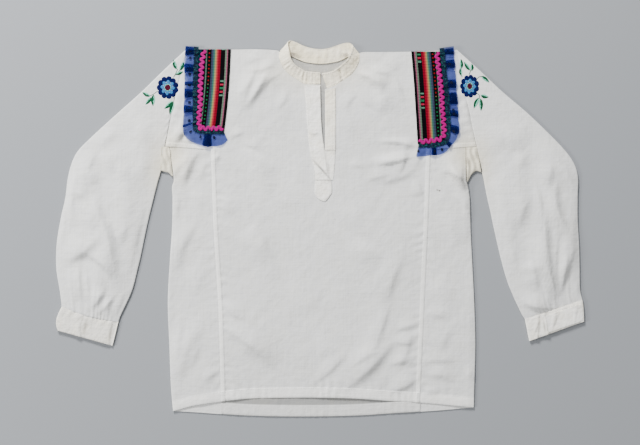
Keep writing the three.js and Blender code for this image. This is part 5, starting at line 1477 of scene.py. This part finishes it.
def leaf(bm, ground, base, tip, width, dark_side):
    """A leaf of two halves, one dark and one pale."""
    base, tip = np.array(base, float), np.array(tip, float)
    run = LEAF_LENGTH * (tip - base)
    aside = np.array([-run[1], run[0]]) / np.linalg.norm(run)
    ts = np.linspace(0, 1, 12)
    shape = np.sin(math.pi * ts**0.85) ** 0.8
    for half in (-1, 1):
        us = np.linspace(0, 1, 4)[:, None, None]
        breadth = width * (0.85 if half == dark_side else 0.55)
        spread = aside * half * breadth * shape[None, :, None] * us
        points = base + run * ts[None, :, None] + spread
        dome = 0.12 + 0.4 * np.sin(math.pi * np.linspace(0.15, 1, 4))[:, None] * shape
        tone = "leaf" if half == dark_side else "mint"
        strand = (ts * np.linalg.norm(run))[None] + 2 * us[..., 0]
        cloth_grid(bm, raised(points, ground, dome), tone=TONES[tone], strand=strand)


def stem(bm, ground, points, width=1.4):
    """A narrow stem through some points."""
    line = along(points, np.linspace(0, 1, 12))
    aside = left_of(line) * width / 2
    grid = np.stack([line - aside, line, line + aside])
    dome = np.array([0.05, 0.35, 0.05])[:, None]
    cloth_grid(bm, raised(grid, ground, dome), tone=TONES["leaf"], strand=np.linspace(0, 12, 12))


FLOWERS = {  # a leaf's row is its base, its tip, its width and the side of its dark half
    "left": {
        "centre": (-289, 268.5),
        "stretch": 0.95,
        "leaves": [
            ((-272, 303), (-277, 318), 5.5, 1), ((-266, 301), (-260.5, 314), 5.5, -1),
            ((-274, 294), (-262.5, 298), 4.6, -1), ((-315.5, 255), (-316.5, 238), 6, -1),
            ((-322, 252), (-334, 258), 5, 1), ((-321, 250), (-329, 239), 5, 1),
            ((-279, 243), (-292, 231.5), 6, 1), ((-277, 240), (-283.5, 222), 6, -1),
        ],
        "stems": [
            [(-278, 288), (-273, 297), (-270, 304)], [(-274, 292), (-268, 299), (-262, 308)],
            [(-308, 262), (-316, 256), (-324, 252)], [(-277, 252), (-276.5, 246), (-278, 240)],
        ],
    },
    "right": {
        "centre": (284, 271),
        "stretch": 0.84,
        "leaves": [
            ((268, 304), (267.5, 319), 5, -1), ((268, 291), (267, 303), 4.4, 1),
            ((285, 301), (276, 314), 5, 1), ((288, 300), (288, 311), 4.6, -1),
            ((306, 290), (318, 280.5), 5, 1), ((305, 254), (317, 251), 5.4, -1),
            ((301.5, 249), (294, 233), 5.6, -1), ((304, 248), (305, 229), 5.6, 1),
        ],
        "stems": [
            [(283, 293), (285, 298), (287, 303)], [(270, 288), (268, 296), (268, 305)],
            [(297, 284), (303, 289), (311, 288)], [(297, 258), (302, 254), (302, 247)],
        ],
    },
}


def flower_piece(side):
    plan = FLOWERS[side]
    ground = surface_of(sleeves[side], front)
    bm = bmesh.new()
    on = {"bm": bm, "ground": ground, "centre": plan["centre"], "stretch": plan["stretch"]}
    ring(inner=11.0, outer=22.0, lobes=11, tone="navy", lift=0.1, **on)
    ring(inner=4.2, outer=15.0, lobes=8, tone="sky", lift=0.35, turn=0.3, notch=0.44, power=0.8, **on)
    ring(inner=5.0, outer=7.2, lobes=8, tone="mint", lift=0.55, turn=0.3, **on)
    ring(inner=0.0, outer=6.0, lobes=0, tone="wine", lift=0.85, **on)
    for base, tip, width, dark_side in plan["leaves"]:
        leaf(bm, ground, base, tip, width, dark_side)
    for points in plan["stems"]:
        stem(bm, ground, points)
    bmesh.ops.remove_doubles(bm, verts=bm.verts, dist=0.01 * MM)
    bmesh.ops.recalc_face_normals(bm, faces=bm.faces)
    for face in bm.faces:
        if face.normal.z < 0:
            face.normal_flip()
    return make_piece(f"flower_{side}", bm, embroidery)


flowers = {side: flower_piece(side) for side in SIDES}

# %% [markdown]
# The seams are sewn in white cotton thread. Every stitch is a short raised bar of a few faces, longer
# and thicker than a real one so that it shows, and the rows follow the bands that they hold down.

# %% seam stitching
STITCH, STITCH_GAP, STITCH_WIDTH = 3.2, 1.3, 0.55


STITCH_DOME = np.array([[-0.1, 0.05, -0.1], [0.0, 0.32, 0.0], [-0.1, 0.05, -0.1]])
PLACKET_STITCHES = [
    [(-7, 90), (-8.2, 71), (-4.6, 61.6), (9.2, 55.4), (20, 69), (20, 81), (18.6, 90)],
    [(26.6, 152), (26.9, 207), (26.6, 264)], [(11, 151.4), (28, 151.4)],
    [(-17, 152), (-20, 179), (-22.5, 207), (-24, 236), (-27, 268)],
]


def stitch_row(bm, ground, points):
    """A row of stitches on a smooth line through some points."""
    line = along(points, np.linspace(0, 1, 400))
    run = length_along(line)
    count = int(run[-1] / (STITCH + STITCH_GAP))
    for k in range(count):
        start = (k + 0.5) * run[-1] / count - STITCH / 2
        places = start + np.array([0, STITCH / 2, STITCH])
        ends = np.stack([np.interp(places, run, line[:, axis]) for axis in (0, 1)], -1)
        way = unit(ends[2] - ends[0])
        aside = np.array([-way[1], way[0]]) * STITCH_WIDTH / 2
        grid = np.array([[e - aside, e, e + aside] for e in ends])
        cloth_grid(bm, raised(grid, ground, STITCH_DOME), age=0.0)


def seam_stitches():
    bm = bmesh.new()
    ground = surface_of(front, *side_cloths.values(), *sleeves.values(), *cuffs.values(), collar, *placket)
    xs = np.linspace(-276, 288, 60)
    stitch_row(bm, ground, np.stack([xs, hem_y("front", xs) + HEM_STITCHES], -1))
    for side, sign in SIDES.items():
        ys = np.linspace(148, -322, 40)
        for aside in (1.3, 7.0):
            stitch_row(bm, ground, np.stack([seam_x(side, ys) - sign * aside, ys], -1))
        xs = np.linspace(armhole(side)[-1, 0] - sign * 4, sign * 212, 14)
        stitch_row(bm, ground, np.stack([xs, yoke_y(side, xs) + 6.8], -1))
        lines = sleeve_lines(side, np.array([0.1, 0.9]), CUFFS[side])
        for outer, inner in zip(lines["outer"], lines["inner"]):
            stitch_row(bm, ground, [outer * 0.98 + inner * 0.02, inner * 0.98 + outer * 0.02])
    rows = read_rows(COLLAR, np.linspace(0, 1, 90))
    for t in (0.09, 0.92):
        stitch_row(bm, ground, rows[:, :2] * (1 - t) + rows[:, 3:5] * t)
    for points in PLACKET_STITCHES:
        stitch_row(bm, ground, points)
    return make_piece("seam_stitches", bm, shirting)


stitches = seam_stitches()

# %% [markdown]
# ## What each piece was cut from
# Sizes are what shows of each cut, in metres, and all round on a tube. The areas are given where the cut
# isn't a rectangle. They are only listed: cut() does nothing with them.

# %% cloth sizes
def cut(piece, width, length, held, rests_on, area=None, with_pieces=()):
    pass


cut(back, 0.6, 0.7, "laid", [], 0.32)
cut(front, 0.6, 0.67, "laid", [back], 0.3, [stitches])
for side in SIDES:
    cut(side_cloths[side], 0.175, 0.5, "folded", [back], 0.082)
    cut(gussets[side], 0.025, 0.1, "folded", [], 0.0022)
    cut(sleeves[side], 0.47, 0.6, "gathered", [], 0.15, [flowers[side]])
    cut(cuffs[side], 0.24, 0.048, "folded", [])
    cut(ribbons[side], 0.066, 0.176, "laid", [front])
    cut(ricracs[side], 0.011, 0.24, "laid", [ribbons[side]], 0.0018)
    cut(ruffles[side], 0.026, 0.47, "gathered", [front])
cut(collar, 0.34, 0.028, "folded", [front, back])
cut(placket[0], 0.036, 0.178, "folded", [front], 0.0052)
cut(placket[1], 0.019, 0.116, "folded", [front])
cut(placket[2], 0.032, 0.04, "folded", [front], 0.001)

# %% the end
bpy.context.view_layer.update()
